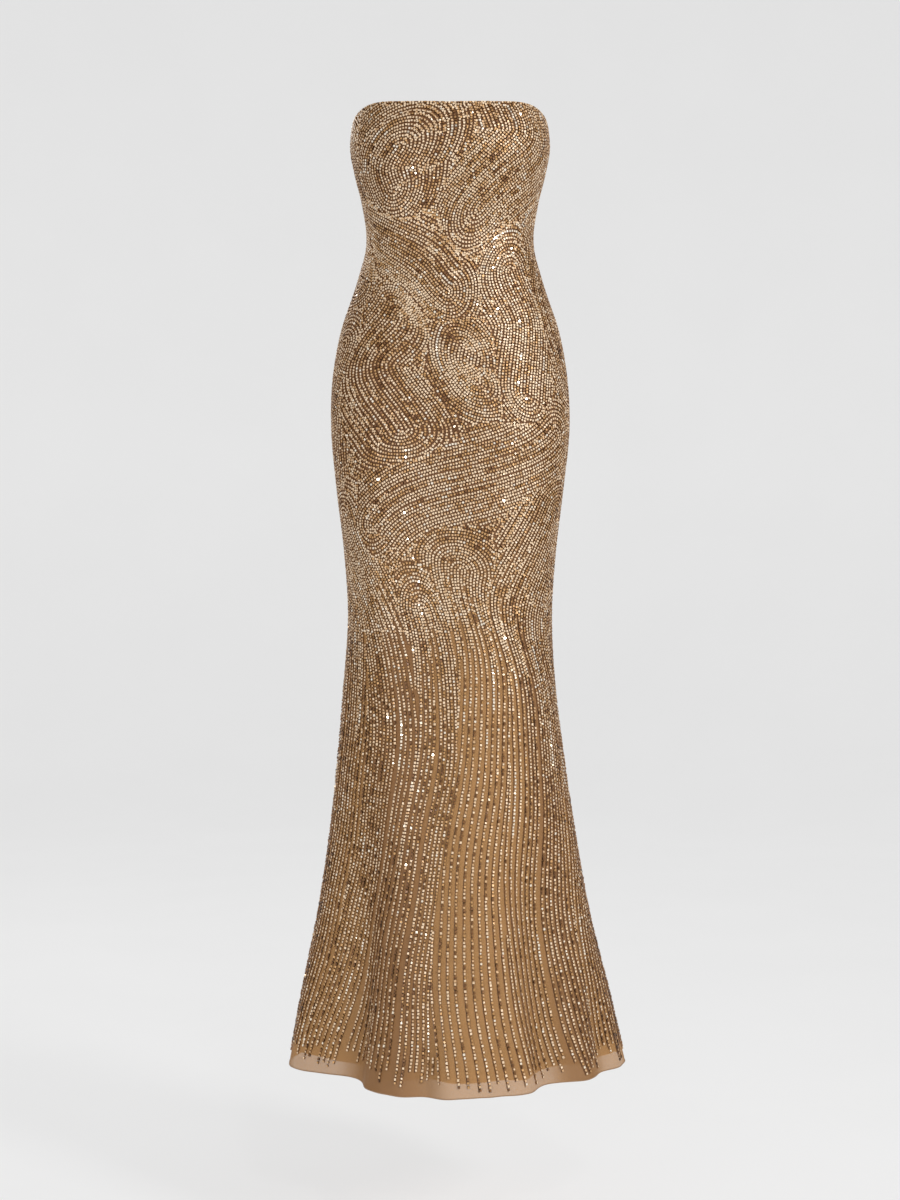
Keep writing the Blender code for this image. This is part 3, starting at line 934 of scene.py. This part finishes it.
def nest_rows(motif, line, other_lines, sizes, rng):
    """Runs of points (across, height) for every row and strand of one motif."""
    own, others = tree_of(line), tree_of(np.concatenate(other_lines))
    to_hem = motif.foot_height <= BELOW_HEM
    closed = not to_hem and motif.foot_height < motif.head_height
    gap = sizes.row_gap / MM
    rows = row_reaches(gap, sizes.group_gap / MM, rng)
    low = {leg: rows.copy() for leg in (-1, 1)}
    ends = {leg: np.full(len(rows), BELOW_HEM, float) for leg in (-1, 1)}
    lone_strands = []
    for leg in (-1, 1) if to_hem else ():
        ends[leg] = between(ROWS_THIN_OUT, rng.random(len(rows)))
        for strand in strand_reaches(motif.foot_across, leg, rng):
            start, end = between(STRANDS_START, rng.random()), between(ROWS_END_AT, rng.random())
            k = int(np.argmin(np.abs(rows - strand)))
            if ends[leg][k] > ROWS_END_AT[0] and abs(rows[k] - strand) < gap:
                low[leg][k], ends[leg][k] = strand, end
            else:
                lone_strands.append((leg, strand, start, end))

    def clear_path(reach, low_reach):
        path, legs, reaches = row_path(line, reach, closed, low_reach)
        skirt = in_skirt(path[:, 1])
        clear = np.abs(nearest(own, path) - reaches) < between(REACH_SLACK, skirt)
        clear &= nearest(others, path) > reaches + between(CREASE, skirt)
        return path, legs, clear

    runs = []
    for k, reach in enumerate(rows):
        path, legs, clear = clear_path(reach, {leg: low[leg][k] for leg in (-1, 1)})
        if not clear.any():
            break
        for leg in (-1, 1):
            clear &= (legs != leg) | (path[:, 1] > ends[leg][k])
        runs += split_runs(path, clear)
    for leg, reach, start, end in lone_strands:
        path, legs, clear = clear_path(reach, {-1: reach, 1: reach})
        clear &= (legs == leg) & (path[:, 1] < start) & (path[:, 1] > end)
        runs += split_runs(path, clear)
    return runs


def slant(across, height, across_length, height_length, start=0.0):
    """Wave that runs slantwise over the pattern; its lengths are those of one radian."""
    return np.sin(across / across_length + height / height_length + start)


def hand_laid(across, height):
    """Slow sway of the whole pattern, and the slight waver of rows couched by hand."""
    skirt = in_skirt(height)
    fade = smooth_step((SPREAD - np.abs(across)) / SWAY_FADES_WITHIN)
    sway = SWAY * slant(across, height, 120, 72, 0.8) * (1 - 0.85 * skirt)
    sway += SKIRT_SWAY * skirt * np.sin(height / 170)
    lift = LIFT * slant(across, height, 64, 150) * (1 - 0.7 * skirt)
    return (across + fade * sway + WAVER * slant(across, height, 47, 31),
            height + lift + WAVER * slant(across, height, 27, 61))


def tone(across, height):
    """Slow light and dark patches in the beadwork, from -1 to 1."""
    return (np.sin(across / 31 + 1.3 * np.sin(height / 58)) * np.cos(height / 43 + across / 80)
            + 0.7 * slant(across, height, 23, 17) * np.cos(across / 14)) / 1.7


BUGLE_ROWS = 0.04           # share of the rows that are of longer, narrower beads
BUGLE_STRETCH = 1.55        # how much longer they are
RUN_BREAK = 0.2             # chance that a run of like beads ends at a bead
SKIRT_STRETCH = 0.12        # how much further apart beads are in a strand
FIRST_BEAD, BEAD_SLIP = (0.2, 0.8), 0.05        # in pitches: where a row starts, how beads stray
# Below this height each strand gets a dark thread on its shaded side: a painted shadow line, laid as a
# thread.
SHADOW_THREADS_BELOW = -650.0
SHADOW_THREAD_EVERY = 4            # every so many points of a row are points of its shadow thread
SHADOW_THREAD_BESIDE = 1.7         # from the row's middle to the dark thread that stands in for its shadow
SHADOW_THREAD_DROP = (0.0, 0.0, 0.5)       # makes the shadow thread lie below a row that runs across, where light from above casts it


def lay_stretch(stretch, bugle, row_draw, sizes, rng):
    """Beads one pitch apart along a stretch of row (across, height, angle), with their draws."""
    points = surface_point(stretch[:, 2], stretch[:, 1])
    pitch = sizes.pitch / MM * (1 + SKIRT_STRETCH * in_skirt(stretch[1:, 1]))
    pitch = pitch * (BUGLE_STRETCH if bugle else 1.0)
    count = np.insert(np.cumsum(steps_along(points) / pitch), 0, 0.0)
    where = np.arange(rng.uniform(*FIRST_BEAD), count[-1], 1.0)
    total = len(where)
    where = where + rng.uniform(-BEAD_SLIP, BEAD_SLIP, total)
    run_number = np.cumsum(rng.random(total) < RUN_BREAK)
    run_draws = rng.random(total + 1)
    known = np.column_stack([stretch, np.gradient(points, axis=0)])
    across, height, angle, *along = [np.interp(where, count, column) for column in known.T]
    return {"angle": angle, "height": height, "across": across, "along": np.stack(along, axis=1),
            "bugle": np.full(total, bugle), "row_draw": np.full(total, row_draw),
            "run_draw": run_draws[run_number]}


def joined(parts):
    return {key: np.concatenate([part[key] for part in parts]) for key in parts[0]}


def lay_beads(sizes, rng):
    """Every bead of the rows and strands, and the stretches of row down the skirt."""
    body = body_map()
    lines = [spine_line(motif) for motif in MOTIFS]
    laid, strands = [], []
    for number, (motif, line) in enumerate(zip(MOTIFS, lines)):
        for run in nest_rows(motif, line, lines[:number] + lines[number + 1:], sizes, rng):
            across, height = hand_laid(run[:, 0], run[:, 1])
            angle = angle_at(across, height, body)
            inside = np.abs(across) < SPREAD - np.where(height > ZIP_BOTTOM, ZIP_MARGIN, SEAM_MARGIN)
            inside &= height < top_height(angle) - sizes.bead_width / MM
            inside &= height > ROWS_END_AT[1]
            bugle, row_draw = rng.random() < BUGLE_ROWS, rng.random()
            for stretch in split_runs(np.column_stack([across, height, angle]), inside):
                beads = lay_stretch(stretch, bugle, row_draw, sizes, rng)
                if len(beads["angle"]):
                    laid.append(beads)
                    # The strands down the skirt, for their painted shadow threads.
                    strands += split_runs(stretch[:, 1:], stretch[:, 1] < SHADOW_THREADS_BELOW)
    return joined(laid), strands


FILL_CELL = 1.2             # cell of the grid that finds bare places
FILL_REACH = 3.5            # bare places lie this far from every bead
FILL_HEIGHTS = (-720.0, 46.0)
FILL_THINNING = 1.6         # how soon filling stops in the skirt


def fill_between(beads, sizes, rng):
    """Single beads set in the bare places where nests meet, turned as their neighbours are."""
    columns = int(2 * SPREAD / FILL_CELL)
    rows = int((FILL_HEIGHTS[1] - FILL_HEIGHTS[0]) / FILL_CELL)
    taken = np.zeros((columns, rows), bool)
    cells = int(FILL_REACH / FILL_CELL)
    disc = [(i, j) for i in range(-cells, cells + 1) for j in range(-cells, cells + 1)
            if math.hypot(i, j) * FILL_CELL <= FILL_REACH]

    def cover(i, j):
        for di, dj in disc:
            taken[np.clip(i + di, 0, columns - 1), np.clip(j + dj, 0, rows - 1)] = True

    near = (beads["height"] > FILL_HEIGHTS[0]) & (beads["height"] < FILL_HEIGHTS[1])
    cover(((beads["across"][near] + SPREAD) / FILL_CELL).astype(int),
          ((beads["height"][near] - FILL_HEIGHTS[0]) / FILL_CELL).astype(int))
    margin = int((ZIP_MARGIN + FILL_REACH) / FILL_CELL)
    taken[:margin] = taken[-margin:] = True
    places = []
    for i, j in np.argwhere(~taken):
        if not taken[i, j]:
            cover(i, j)
            places.append((i * FILL_CELL - SPREAD, j * FILL_CELL + FILL_HEIGHTS[0]))
    places = np.array(places)
    places = places[rng.random(len(places)) > in_skirt(places[:, 1]) * FILL_THINNING]
    angle = angle_at(places[:, 0], places[:, 1], body_map())
    inside = places[:, 1] < top_height(angle) - sizes.bead_width / MM
    angle, places = angle[inside], places[inside]
    tree = tree_of(np.stack([beads["across"], beads["height"]], axis=1))
    neighbour = [tree.find((x, y, 0.0))[1] for x, y in places]
    total = len(angle)
    extra = {"angle": angle, "height": places[:, 1], "across": places[:, 0],
             "along": beads["along"][neighbour], "bugle": np.zeros(total, bool),
             "row_draw": rng.random(total), "run_draw": rng.random(total)}
    return joined([beads, extra])


CUT_BEAD, SPANGLE = 0, 1
GOLD, BRONZE, CRYSTAL = 2, 3, 4
# A bead's place between light and dark: how much its run, its row, its own draw and the
# patch that it lies in weigh, and what changes down the skirt.
RUN_WEIGHT, ROW_WEIGHT, OWN_WEIGHT, PATCH_WEIGHT = 0.40, 0.20, 0.30, 0.13
SKIRT_OWN_WEIGHT, SKIRT_DARKENING = 0.35, 0.03
CRYSTAL_RUNS = 0.010        # share of the runs that are of crystals, three times in the skirt
LONE_CRYSTALS = 0.015       # share of single crystals elsewhere
RUN_SHUFFLE = 97.0          # makes a fresh draw of a run's own, for its crystals
SKIRT_SLIMMING = 0.04       # how much narrower beads are down the skirt
BEAD_SPREAD = 0.06          # how much larger or smaller than the rest a bead may be
SKIRT_SPREAD = 0.14         # and how much more so down the skirt
BUGLE_NARROWING = 0.7       # how wide a long bead is beside a cut one
SPANGLE_SIZE, SPANGLE_SIZES = (4.6, 4.3, 1.8), (0.85, 1.15)
CRYSTAL_SPANGLES = 0.6      # share of the spangles that are crystals; the rest are gold


def bead_finishes(beads, rng):
    """Like beads come in runs; rows and patches lean to the light or to the dark ones."""
    total = len(beads["angle"])
    skirt = in_skirt(beads["height"])
    score = (RUN_WEIGHT * beads["run_draw"] + ROW_WEIGHT * beads["row_draw"]
             + (OWN_WEIGHT + SKIRT_OWN_WEIGHT * skirt) * (rng.random(total) - 0.5)
             + PATCH_WEIGHT * tone(beads["across"], beads["height"]) * (1 - skirt)
             + SKIRT_DARKENING * skirt)
    rank = np.empty(total)
    rank[np.argsort(score, kind="stable")] = np.arange(total) / total
    shares = np.cumsum([finish.share for finish in BEAD_FINISHES])
    finish = np.searchsorted(shares, rank, side="right").clip(0, BRONZE)
    crystal_run = np.mod(beads["run_draw"] * RUN_SHUFFLE, 1.0) < CRYSTAL_RUNS * (1 + 2 * skirt)
    finish[crystal_run | (rng.random(total) < LONE_CRYSTALS)] = CRYSTAL
    return finish


def bead_points(sizes):
    """Angle and height of every bead, and its place, size, shape and finish; the strands."""
    rng = np.random.default_rng(sizes.seed)
    beads, strands = lay_beads(sizes, rng)
    beads = fill_between(beads, sizes, rng)
    angle, height, bugle = beads["angle"], beads["height"], beads["bugle"]
    total = len(angle)
    skirt = in_skirt(height)
    length = sizes.bead_length / MM * np.where(bugle, BUGLE_STRETCH, 1.0)
    width = sizes.bead_width / MM * (1 - SKIRT_SLIMMING * skirt) * np.where(bugle, BUGLE_NARROWING, 1.0)
    # Upright rows crowd together where the body is narrower than the pattern's spread.
    upright = unit(beads["along"])[:, 2] ** 2
    width *= 1 - upright * np.clip(1 - half_girth(height) / SPREAD, 0, 1)
    size = np.stack([length, width, np.full(total, sizes.bead_height / MM)], axis=1)
    size *= 1 + (BEAD_SPREAD + SKIRT_SPREAD * skirt[:, None]) * rng.uniform(-1, 1, (total, 1))
    finish = bead_finishes(beads, rng)
    kind = np.full(total, CUT_BEAD)
    spangle = (rng.random(total) < sizes.spangle_share) & ~bugle
    kind[spangle] = SPANGLE
    size[spangle] = np.array(SPANGLE_SIZE) * rng.uniform(*SPANGLE_SIZES, (spangle.sum(), 1))
    finish[spangle] = np.where(rng.random(spangle.sum()) < CRYSTAL_SPANGLES, CRYSTAL, GOLD)
    points = Points(layer_point(angle, height, TULLE_INSET), surface_normal(angle, height),
                    beads["along"], size * MM, kind, finish)
    return angle, height, points, strands


ABOVE_TOP = 100
BeadSide = namedtuple("BeadSide", "name low_angle high_angle parts")
# Each side's parts, from the top down, with the height that each one ends at.
FRONT_PARTS = {"bodice": -230, "hip": -480, "thigh": -760, "skirt": BELOW_HEM}
BACK_PARTS = {"bodice": -330, "hip": -680, "skirt": BELOW_HEM}
BEAD_SIDES = (
    BeadSide("front", -90, 90, FRONT_PARTS),
    BeadSide("back_left", 90, 181, BACK_PARTS),
    BeadSide("back_right", -181, -90, BACK_PARTS),
)


def bead_pieces(angle, height):
    """Name of each piece of the beadwork, and which beads it has."""
    for side in BEAD_SIDES:
        high = ABOVE_TOP
        for part, low in side.parts.items():
            yield (f"beads_{side.name}_{part}", (angle >= side.low_angle) & (angle < side.high_angle)
                   & (height >= low) & (height < high))
            high = low


def shadow_thread_tree(thread):
    """Geometry Nodes: a thin dark thread along each line of points, a painted shadow line."""
    tree, given = new_tree("shadow_thread_nodes", ("Thread radius", "NodeSocketFloat", 0.75 * MM))
    line = add_node(tree, "GeometryNodeMeshToCurve", {"Mesh": given["Geometry"]})
    ring = add_node(tree, "GeometryNodeCurvePrimitiveCircle",
                    {"Resolution": 3, "Radius": given["Thread radius"]})
    tube = add_node(tree, "GeometryNodeCurveToMesh",
                    {"Curve": line, "Profile Curve": ring, "Fill Caps": True})
    real = add_node(tree, "GeometryNodeRealizeInstances", {"Geometry": tube})
    painted = add_node(tree, "GeometryNodeSetMaterial", {"Geometry": real, "Material": thread})
    add_node(tree, "NodeGroupOutput", {0: painted}, out=None)
    return tree


def couching_threads(strands, tree):
    """Dark threads beside the strands as painted shadow lines, on the side that is lower and further back in
    angle, away from the key light.
    """
    places, pairs = [], []
    for strand in strands:
        height, angle = strand[:-2:SHADOW_THREAD_EVERY].T
        if len(angle) < 2:
            continue
        place = layer_point(angle, height, TULLE_INSET)
        side = unit(np.cross(surface_normal(angle, height), np.gradient(place, axis=0)))
        # The side that the strand's shadow would fall on, away from the light.
        towards = -unit(round_body(angle, height)) - SHADOW_THREAD_DROP
        place = place + side * np.sum(side * towards, axis=1)[:, None] * SHADOW_THREAD_BESIDE
        pairs += [(len(places) + k, len(places) + k + 1) for k in range(len(place) - 1)]
        places += list(place * MM)
    mesh = bpy.data.meshes.new("shadow_thread_lines")
    mesh.from_pydata(places, pairs, [])
    return plain_mesh_of(new_object("couching_threads", mesh), tree)


# ----------------------------------------------------------------------- settings

def length(name, description, metres):
    return bpy.props.FloatProperty(name=name, description=description, default=metres, unit="LENGTH")


def share(name, description, default):
    return bpy.props.FloatProperty(name=name, description=description, default=default,
                                   subtype="FACTOR", min=0.0, max=1.0)


def colour(name, description, hex_colour):
    return bpy.props.FloatVectorProperty(name=name, description=description, subtype="COLOR", size=4,
                                         default=srgb(hex_colour))


class GownCloth(bpy.types.PropertyGroup):
    """Sizes of the cloth"""
    tulle_thickness: length("Tulle thickness", "Thickness of the net", 0.5 * MM)
    lining_thickness: length("Lining thickness", "Thickness of the satin", 0.8 * MM)
    edge_radius: length("Rolled edge radius", "Radius of the rolled hem of the net", 0.75 * MM)


class GownBeads(bpy.types.PropertyGroup):
    """Sizes of the beadwork"""
    bead_length: length("Bead length", "Length of a bead along its row", 3.6 * MM)
    bead_width: length("Bead width", "Width of a bead across its row", 3.5 * MM)
    bead_height: length("Bead height", "How far a bead stands off the net", 2.2 * MM)
    pitch: length("Pitch", "From bead to bead along a row", 4.3 * MM)
    row_gap: length("Row gap", "From row to row in a group", 4.6 * MM)
    group_gap: length("Group gap", "From one group of rows to the next", 5.2 * MM)
    wobble: bpy.props.FloatProperty(
        name="Wobble", description="How far beads tilt at random", default=math.radians(10), subtype="ANGLE")
    spangle_share: share("Spangles", "Share of the beads that are larger spangles", 0.022)
    seed: bpy.props.IntProperty(
        name="Seed", description="Start of the random draws of the beadwork", default=11)


class GownFinish(bpy.types.PropertyGroup):
    """Colours of the cloth"""
    tulle_colour: colour("Tulle", "Colour of the net", "B0834E")
    # Partly painted shade: the net darkens between dense beads as in their shadow.
    thread_and_shade_colour: colour("Ground", "Colour of the net and thread under dense beads", "6C4521")
    satin_colour: colour("Satin", "Colour of the lining", "E2B78D")
    satin_shade: colour("Satin shade", "Colour that the lining drifts to", "D6AA7F")
    veil: share("Veil", "How much of what is behind it one layer of net hides", 0.74)


class GownStage(bpy.types.PropertyGroup):
    """Camera and light"""
    distance: length("Camera distance", "From the camera to the gown's axis", 2.65)
    camera_height: length("Camera height", "Height of the camera from the bust line", -0.675)
    pixel: length("Pixel", "Size of a photo pixel at the gown's axis", 1.5 * MM)
    floor_height: length("Floor height", "Height of the floor from the bust line", -1.60)


# ------------------------------------------------------------------------- studio

FLOOR_RADIUS, SWEEP, WALL_TOP = 4.4, 1.6, 4.0
PAPER_SIDES, SWEEP_STEPS = 96, 16
ROOM_LIGHT = 0.33
LIT_MIDDLE = Vector((0.0, 0.0, -0.66))
Light = namedtuple("Light", "name place size watts")
LIGHTS = (
    Light("key", (2.4, -2.1, 0.7), 0.75, 56.0),
    Light("fill", (-1.8, -2.9, -1.0), 0.7, 24.0),
    Light("glint_high", (0.7, -2.7, 1.3), 0.3, 13.0),
    Light("back", (-1.2, 2.2, 1.4), 1.4, 22.0),
)
PHOTO_HEIGHT_PX, FILM_HEIGHT = 1200, 36.0


def studio_paper(floor):
    """Round floor that sweeps up into a wall on every side."""
    profile = [(FLOOR_RADIUS + SWEEP * math.sin(turn), floor + SWEEP - SWEEP * math.cos(turn))
               for turn in np.linspace(0, math.pi / 2, SWEEP_STEPS + 1)]
    profile.append((FLOOR_RADIUS + SWEEP, WALL_TOP))
    turns = [2 * math.pi * k / PAPER_SIDES for k in range(PAPER_SIDES)]
    bm = bmesh.new()
    centre = bm.verts.new((0.0, 0.0, floor))
    rings = [[bm.verts.new((radius * math.cos(turn), radius * math.sin(turn), height)) for turn in turns]
             for radius, height in profile]
    for k in range(PAPER_SIDES):
        m = (k + 1) % PAPER_SIDES
        bm.faces.new((centre, rings[0][k], rings[0][m]))
        for lower, upper in zip(rings, rings[1:]):
            bm.faces.new((lower[k], upper[k], upper[m], lower[m]))
    mesh_object("studio_paper", bm, [paper_material()])


def studio_lights(scene):
    world = bpy.data.worlds.new("studio")
    world.use_nodes = True
    background = world.node_tree.nodes["Background"].inputs
    background["Color"].default_value = (1.0, 1.0, 1.0, 1.0)
    background["Strength"].default_value = ROOM_LIGHT
    scene.world = world
    for light in LIGHTS:
        data = bpy.data.lights.new(light.name, "AREA")
        data.size = light.size
        data.energy = light.watts
        obj = new_object(light.name, data)
        obj.location = light.place
        obj.rotation_euler = (LIT_MIDDLE - obj.location).to_track_quat("-Z", "Y").to_euler()


def photo_camera(scene, stage):
    data = bpy.data.cameras.new("camera")
    data.sensor_fit = "VERTICAL"
    data.sensor_height = FILM_HEIGHT
    data.lens = FILM_HEIGHT * stage.distance / (stage.pixel * PHOTO_HEIGHT_PX)
    obj = new_object("camera", data)
    obj.location = (0.0, -stage.distance, stage.camera_height)
    obj.rotation_euler = (math.pi / 2, 0.0, 0.0)
    scene.camera = obj
    scene.view_settings.view_transform = "Standard"


# ----------------------------------------------------------------------- operators

class GownOperator:
    bl_options = {"REGISTER", "UNDO"}


class GOWN_OT_stage(GownOperator, bpy.types.Operator):
    """Pale studio paper, soft light and the camera at the photo's angle"""
    bl_idname = "gown.stage"
    bl_label = "Studio"

    def execute(self, context):
        stage = context.scene.gown_stage
        studio_paper(stage.floor_height)
        studio_lights(context.scene)
        photo_camera(context.scene, stage)
        return {"FINISHED"}


class GOWN_OT_lining(GownOperator, bpy.types.Operator):
    """Satin lining: front and two back halves, free of the tulle below the hips"""
    bl_idname = "gown.lining"
    bl_label = "Lining"

    def execute(self, context):
        scene = context.scene
        lay_cloth(SATIN, scene.gown_cloth.lining_thickness, satin_material(scene.gown_finish))
        return {"FINISHED"}


class GOWN_OT_tulle(GownOperator, bpy.types.Operator):
    """Sheer net that carries the beads: front and two back halves"""
    bl_idname = "gown.tulle"
    bl_label = "Tulle"

    def execute(self, context):
        scene = context.scene
        lay_cloth(TULLE, scene.gown_cloth.tulle_thickness, tulle_material(scene.gown_finish))
        return {"FINISHED"}


class GOWN_OT_edges(GownOperator, bpy.types.Operator):
    """Rolled hem of the net and the turned top edge"""
    bl_idname = "gown.edges"
    bl_label = "Edges"
    hem_behind_net = 0.25
    turned_radius, turned_inset, turned_drop = 1.1, 1.5, 0.4
    back_radius = 100.0         # of the body at the top of the centre back
    clear_of_slot = 0.6         # degrees

    def execute(self, context):
        rolled = thread_material("rolled_net_edge", "9A7650", "7F5F3E")
        turned = thread_material("turned_satin_edge", "A37B4E", "8A653D")
        angles = np.linspace(-CENTRE_BACK, CENTRE_BACK, 361)[:-1]
        hem = layer_point(angles, tulle_hem(angles), TULLE_INSET + self.hem_behind_net)
        radius = context.scene.gown_cloth.edge_radius / MM
        declare(mesh_object("rolled_hem", tube_mesh(hem, radius, closed=True), [rolled]))
        end = CENTRE_BACK - math.degrees(COIL_SLOT / self.back_radius) - self.clear_of_slot
        angles = np.linspace(-end, end, 260)
        top = layer_point(angles, top_height(angles) - self.turned_drop, self.turned_inset)
        declare(mesh_object("turned_top_edge", tube_mesh(top, self.turned_radius, closed=False), [turned]))
        return {"FINISHED"}


class GOWN_OT_beads(GownOperator, bpy.types.Operator):
    """Rows of beads in nests and falling strands, and the row along the top edge"""
    bl_idname = "gown.beads"
    bl_label = "Beadwork"
    edge_row_below = 1.7
    edge_row_end = CENTRE_BACK - 3
    edge_width_share, edge_bead_height = 0.9, 1.9
    gold_every, bronze_every = 3, 7

    def execute(self, context):
        sizes = context.scene.gown_beads
        tree = set_on_points_tree("beads_on_rows", [bead_material(finish) for finish in BEAD_FINISHES])
        angle, height, points, strands = bead_points(sizes)
        for name, inside in bead_pieces(angle, height):
            chosen = Points(*[column[inside] for column in points])
            declare(set_on_points(name, chosen, tree, Wobble=sizes.wobble, Seed=sizes.seed))
        self.edge_row(sizes, tree)
        # Dark threads beside the strands stand in for their shadows: painted shadow lines.
        thread = thread_material("couching_thread", "70461F", "593719")
        declare(couching_threads(strands, shadow_thread_tree(thread)))
        return {"FINISHED"}

    def edge_row(self, sizes, tree):
        """Row along the top edge, clear of the zip, with a gold or bronze bead now and then."""
        angles = np.linspace(-self.edge_row_end, self.edge_row_end, 4000)
        pitch = sizes.pitch / MM
        angles, heights = even_steps(angles, top_height(angles) - self.edge_row_below, TULLE_INSET,
                                     pitch, pitch / 2)
        size = (sizes.bead_length / MM, sizes.bead_width / MM * self.edge_width_share, self.edge_bead_height)
        edge = points_on_cloth(angles, heights, TULLE_INSET, size)
        edge.finish[::self.gold_every] = GOLD
        edge.finish[::self.bronze_every] = BRONZE
        declare(set_on_points("beads_top_edge", edge, tree, Wobble=sizes.wobble, Seed=sizes.seed + 5))


ZipPoint = namedtuple("ZipPoint", "across inset")
# Half of the closed zip's section: over the coil's ridge, then out and round the tape.
HALF_ZIP = (ZipPoint(0.9, 0.25), ZipPoint(1.7, 0.7), ZipPoint(1.9, 1.8), ZipPoint(6.0, 1.9),
            ZipPoint(6.0, 2.7))
COIL_SIDES = range(2, 7)    # sides of the whole section that are coil


class GOWN_OT_zip(GownOperator, bpy.types.Operator):
    """Woven tape, nylon coil and its turns, and the plated slider and pull tab"""
    bl_idname = "gown.zip"
    bl_label = "Zip"
    tape_below_edge = 0.3
    turn_pitch, turn_margin, turn_inset = 1.5, 1.5, 0.6
    turn_size = (0.85, 3.3, 0.6)

    def execute(self, context):
        coil = nylon_material("nylon_coil", "B9945F", "9E7A4A")
        self.tape([thread_material("woven_zip_tape", "A9845A", "8E6C46"), coil])
        self.coil_turns(coil)
        brass = brass_material()
        for node in ("zip_slider", "pull_tab"):
            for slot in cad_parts[node].material_slots:
                slot.material = brass
        return {"FINISHED"}

    def tape(self, materials):
        """Tape behind the slot, with the closed coil as a low rounded ridge in it."""
        heights = np.linspace(top_height(CENTRE_BACK) - self.tape_below_edge, ZIP_BOTTOM, 60)
        radius = ring_radius(np.full(len(heights), CENTRE_BACK), heights)
        section = [(-point.across, point.inset) for point in reversed(HALF_ZIP)] + list(HALF_ZIP)
        strings = [layer_point(CENTRE_BACK + np.degrees(across / radius), heights, inset)
                   for across, inset in section]
        skin = loft_mesh(np.swapaxes(strings, 0, 1), painted=COIL_SIDES)
        declare(mesh_object("zip_tape", skin, materials), ["zip_chain"])

    def coil_turns(self, coil):
        heights = np.arange(top_height(CENTRE_BACK) - self.turn_margin, ZIP_BOTTOM + self.turn_margin,
                            -self.turn_pitch)
        points = points_on_cloth(np.full(len(heights), CENTRE_BACK), heights, self.turn_inset,
                                 self.turn_size)
        tree = set_on_points_tree("coil_turns", [coil])
        declare(set_on_points("zip_coil_turns", points, tree, Wobble=0.0))


class GOWN_OT_stitches(GownOperator, bpy.types.Operator):
    """Stitches of the lining's hem"""
    bl_idname = "gown.stitches"
    bl_label = "Stitches"
    hem_depth, pitch, sunk = 12.0, 4.2, 0.1
    stitch_size = (2.9, 0.45, 0.3)

    def execute(self, context):
        thread = thread_material("polyester_thread", "B98D58", "9A7343")
        angles = np.linspace(-CENTRE_BACK, CENTRE_BACK, 6000)
        heights = lining_hem(angles) + self.hem_depth
        angles, heights = even_steps(angles, heights, lining_inset(heights), self.pitch, 0)
        points = points_on_cloth(angles, heights, lining_inset(heights) + self.sunk, self.stitch_size)
        tree = set_on_points_tree("hem_stitches", [thread])
        declare(set_on_points("lining_hem_stitches", points, tree, Wobble=0.05))
        return {"FINISHED"}


class GOWN_PT_gown(bpy.types.Panel):
    """Steps that build the gown"""
    bl_idname = "GOWN_PT_gown"
    bl_label = "Beaded gown"
    bl_space_type = "VIEW_3D"
    bl_region_type = "UI"
    bl_category = "Gown"

    def draw(self, context):
        layout = self.layout
        for operator in OPERATORS:
            layout.operator(operator.bl_idname)
        for group in SETTINGS:
            box = layout.box()
            settings = getattr(context.scene, group)
            for name in settings.__annotations__:
                box.prop(settings, name)


OPERATORS = (GOWN_OT_stage, GOWN_OT_lining, GOWN_OT_tulle, GOWN_OT_edges, GOWN_OT_beads,
             GOWN_OT_zip, GOWN_OT_stitches)
SETTINGS = {"gown_cloth": GownCloth, "gown_beads": GownBeads, "gown_finish": GownFinish,
            "gown_stage": GownStage}


def register():
    for group in SETTINGS.values():
        bpy.utils.register_class(group)
    for name, group in SETTINGS.items():
        setattr(bpy.types.Scene, name, bpy.props.PointerProperty(type=group))
    for operator in OPERATORS:
        bpy.utils.register_class(operator)
    bpy.utils.register_class(GOWN_PT_gown)


def unregister():
    bpy.utils.unregister_class(GOWN_PT_gown)
    for operator in reversed(OPERATORS):
        bpy.utils.unregister_class(operator)
    for name, group in SETTINGS.items():
        delattr(bpy.types.Scene, name)
        bpy.utils.unregister_class(group)


def main():
    register()
    bpy.ops.gown.stage()
    bpy.ops.gown.lining()
    bpy.ops.gown.tulle()
    bpy.ops.gown.edges()
    bpy.ops.gown.beads()
    bpy.ops.gown.zip()
    bpy.ops.gown.stitches()


if __name__ == "__main__":
    main()
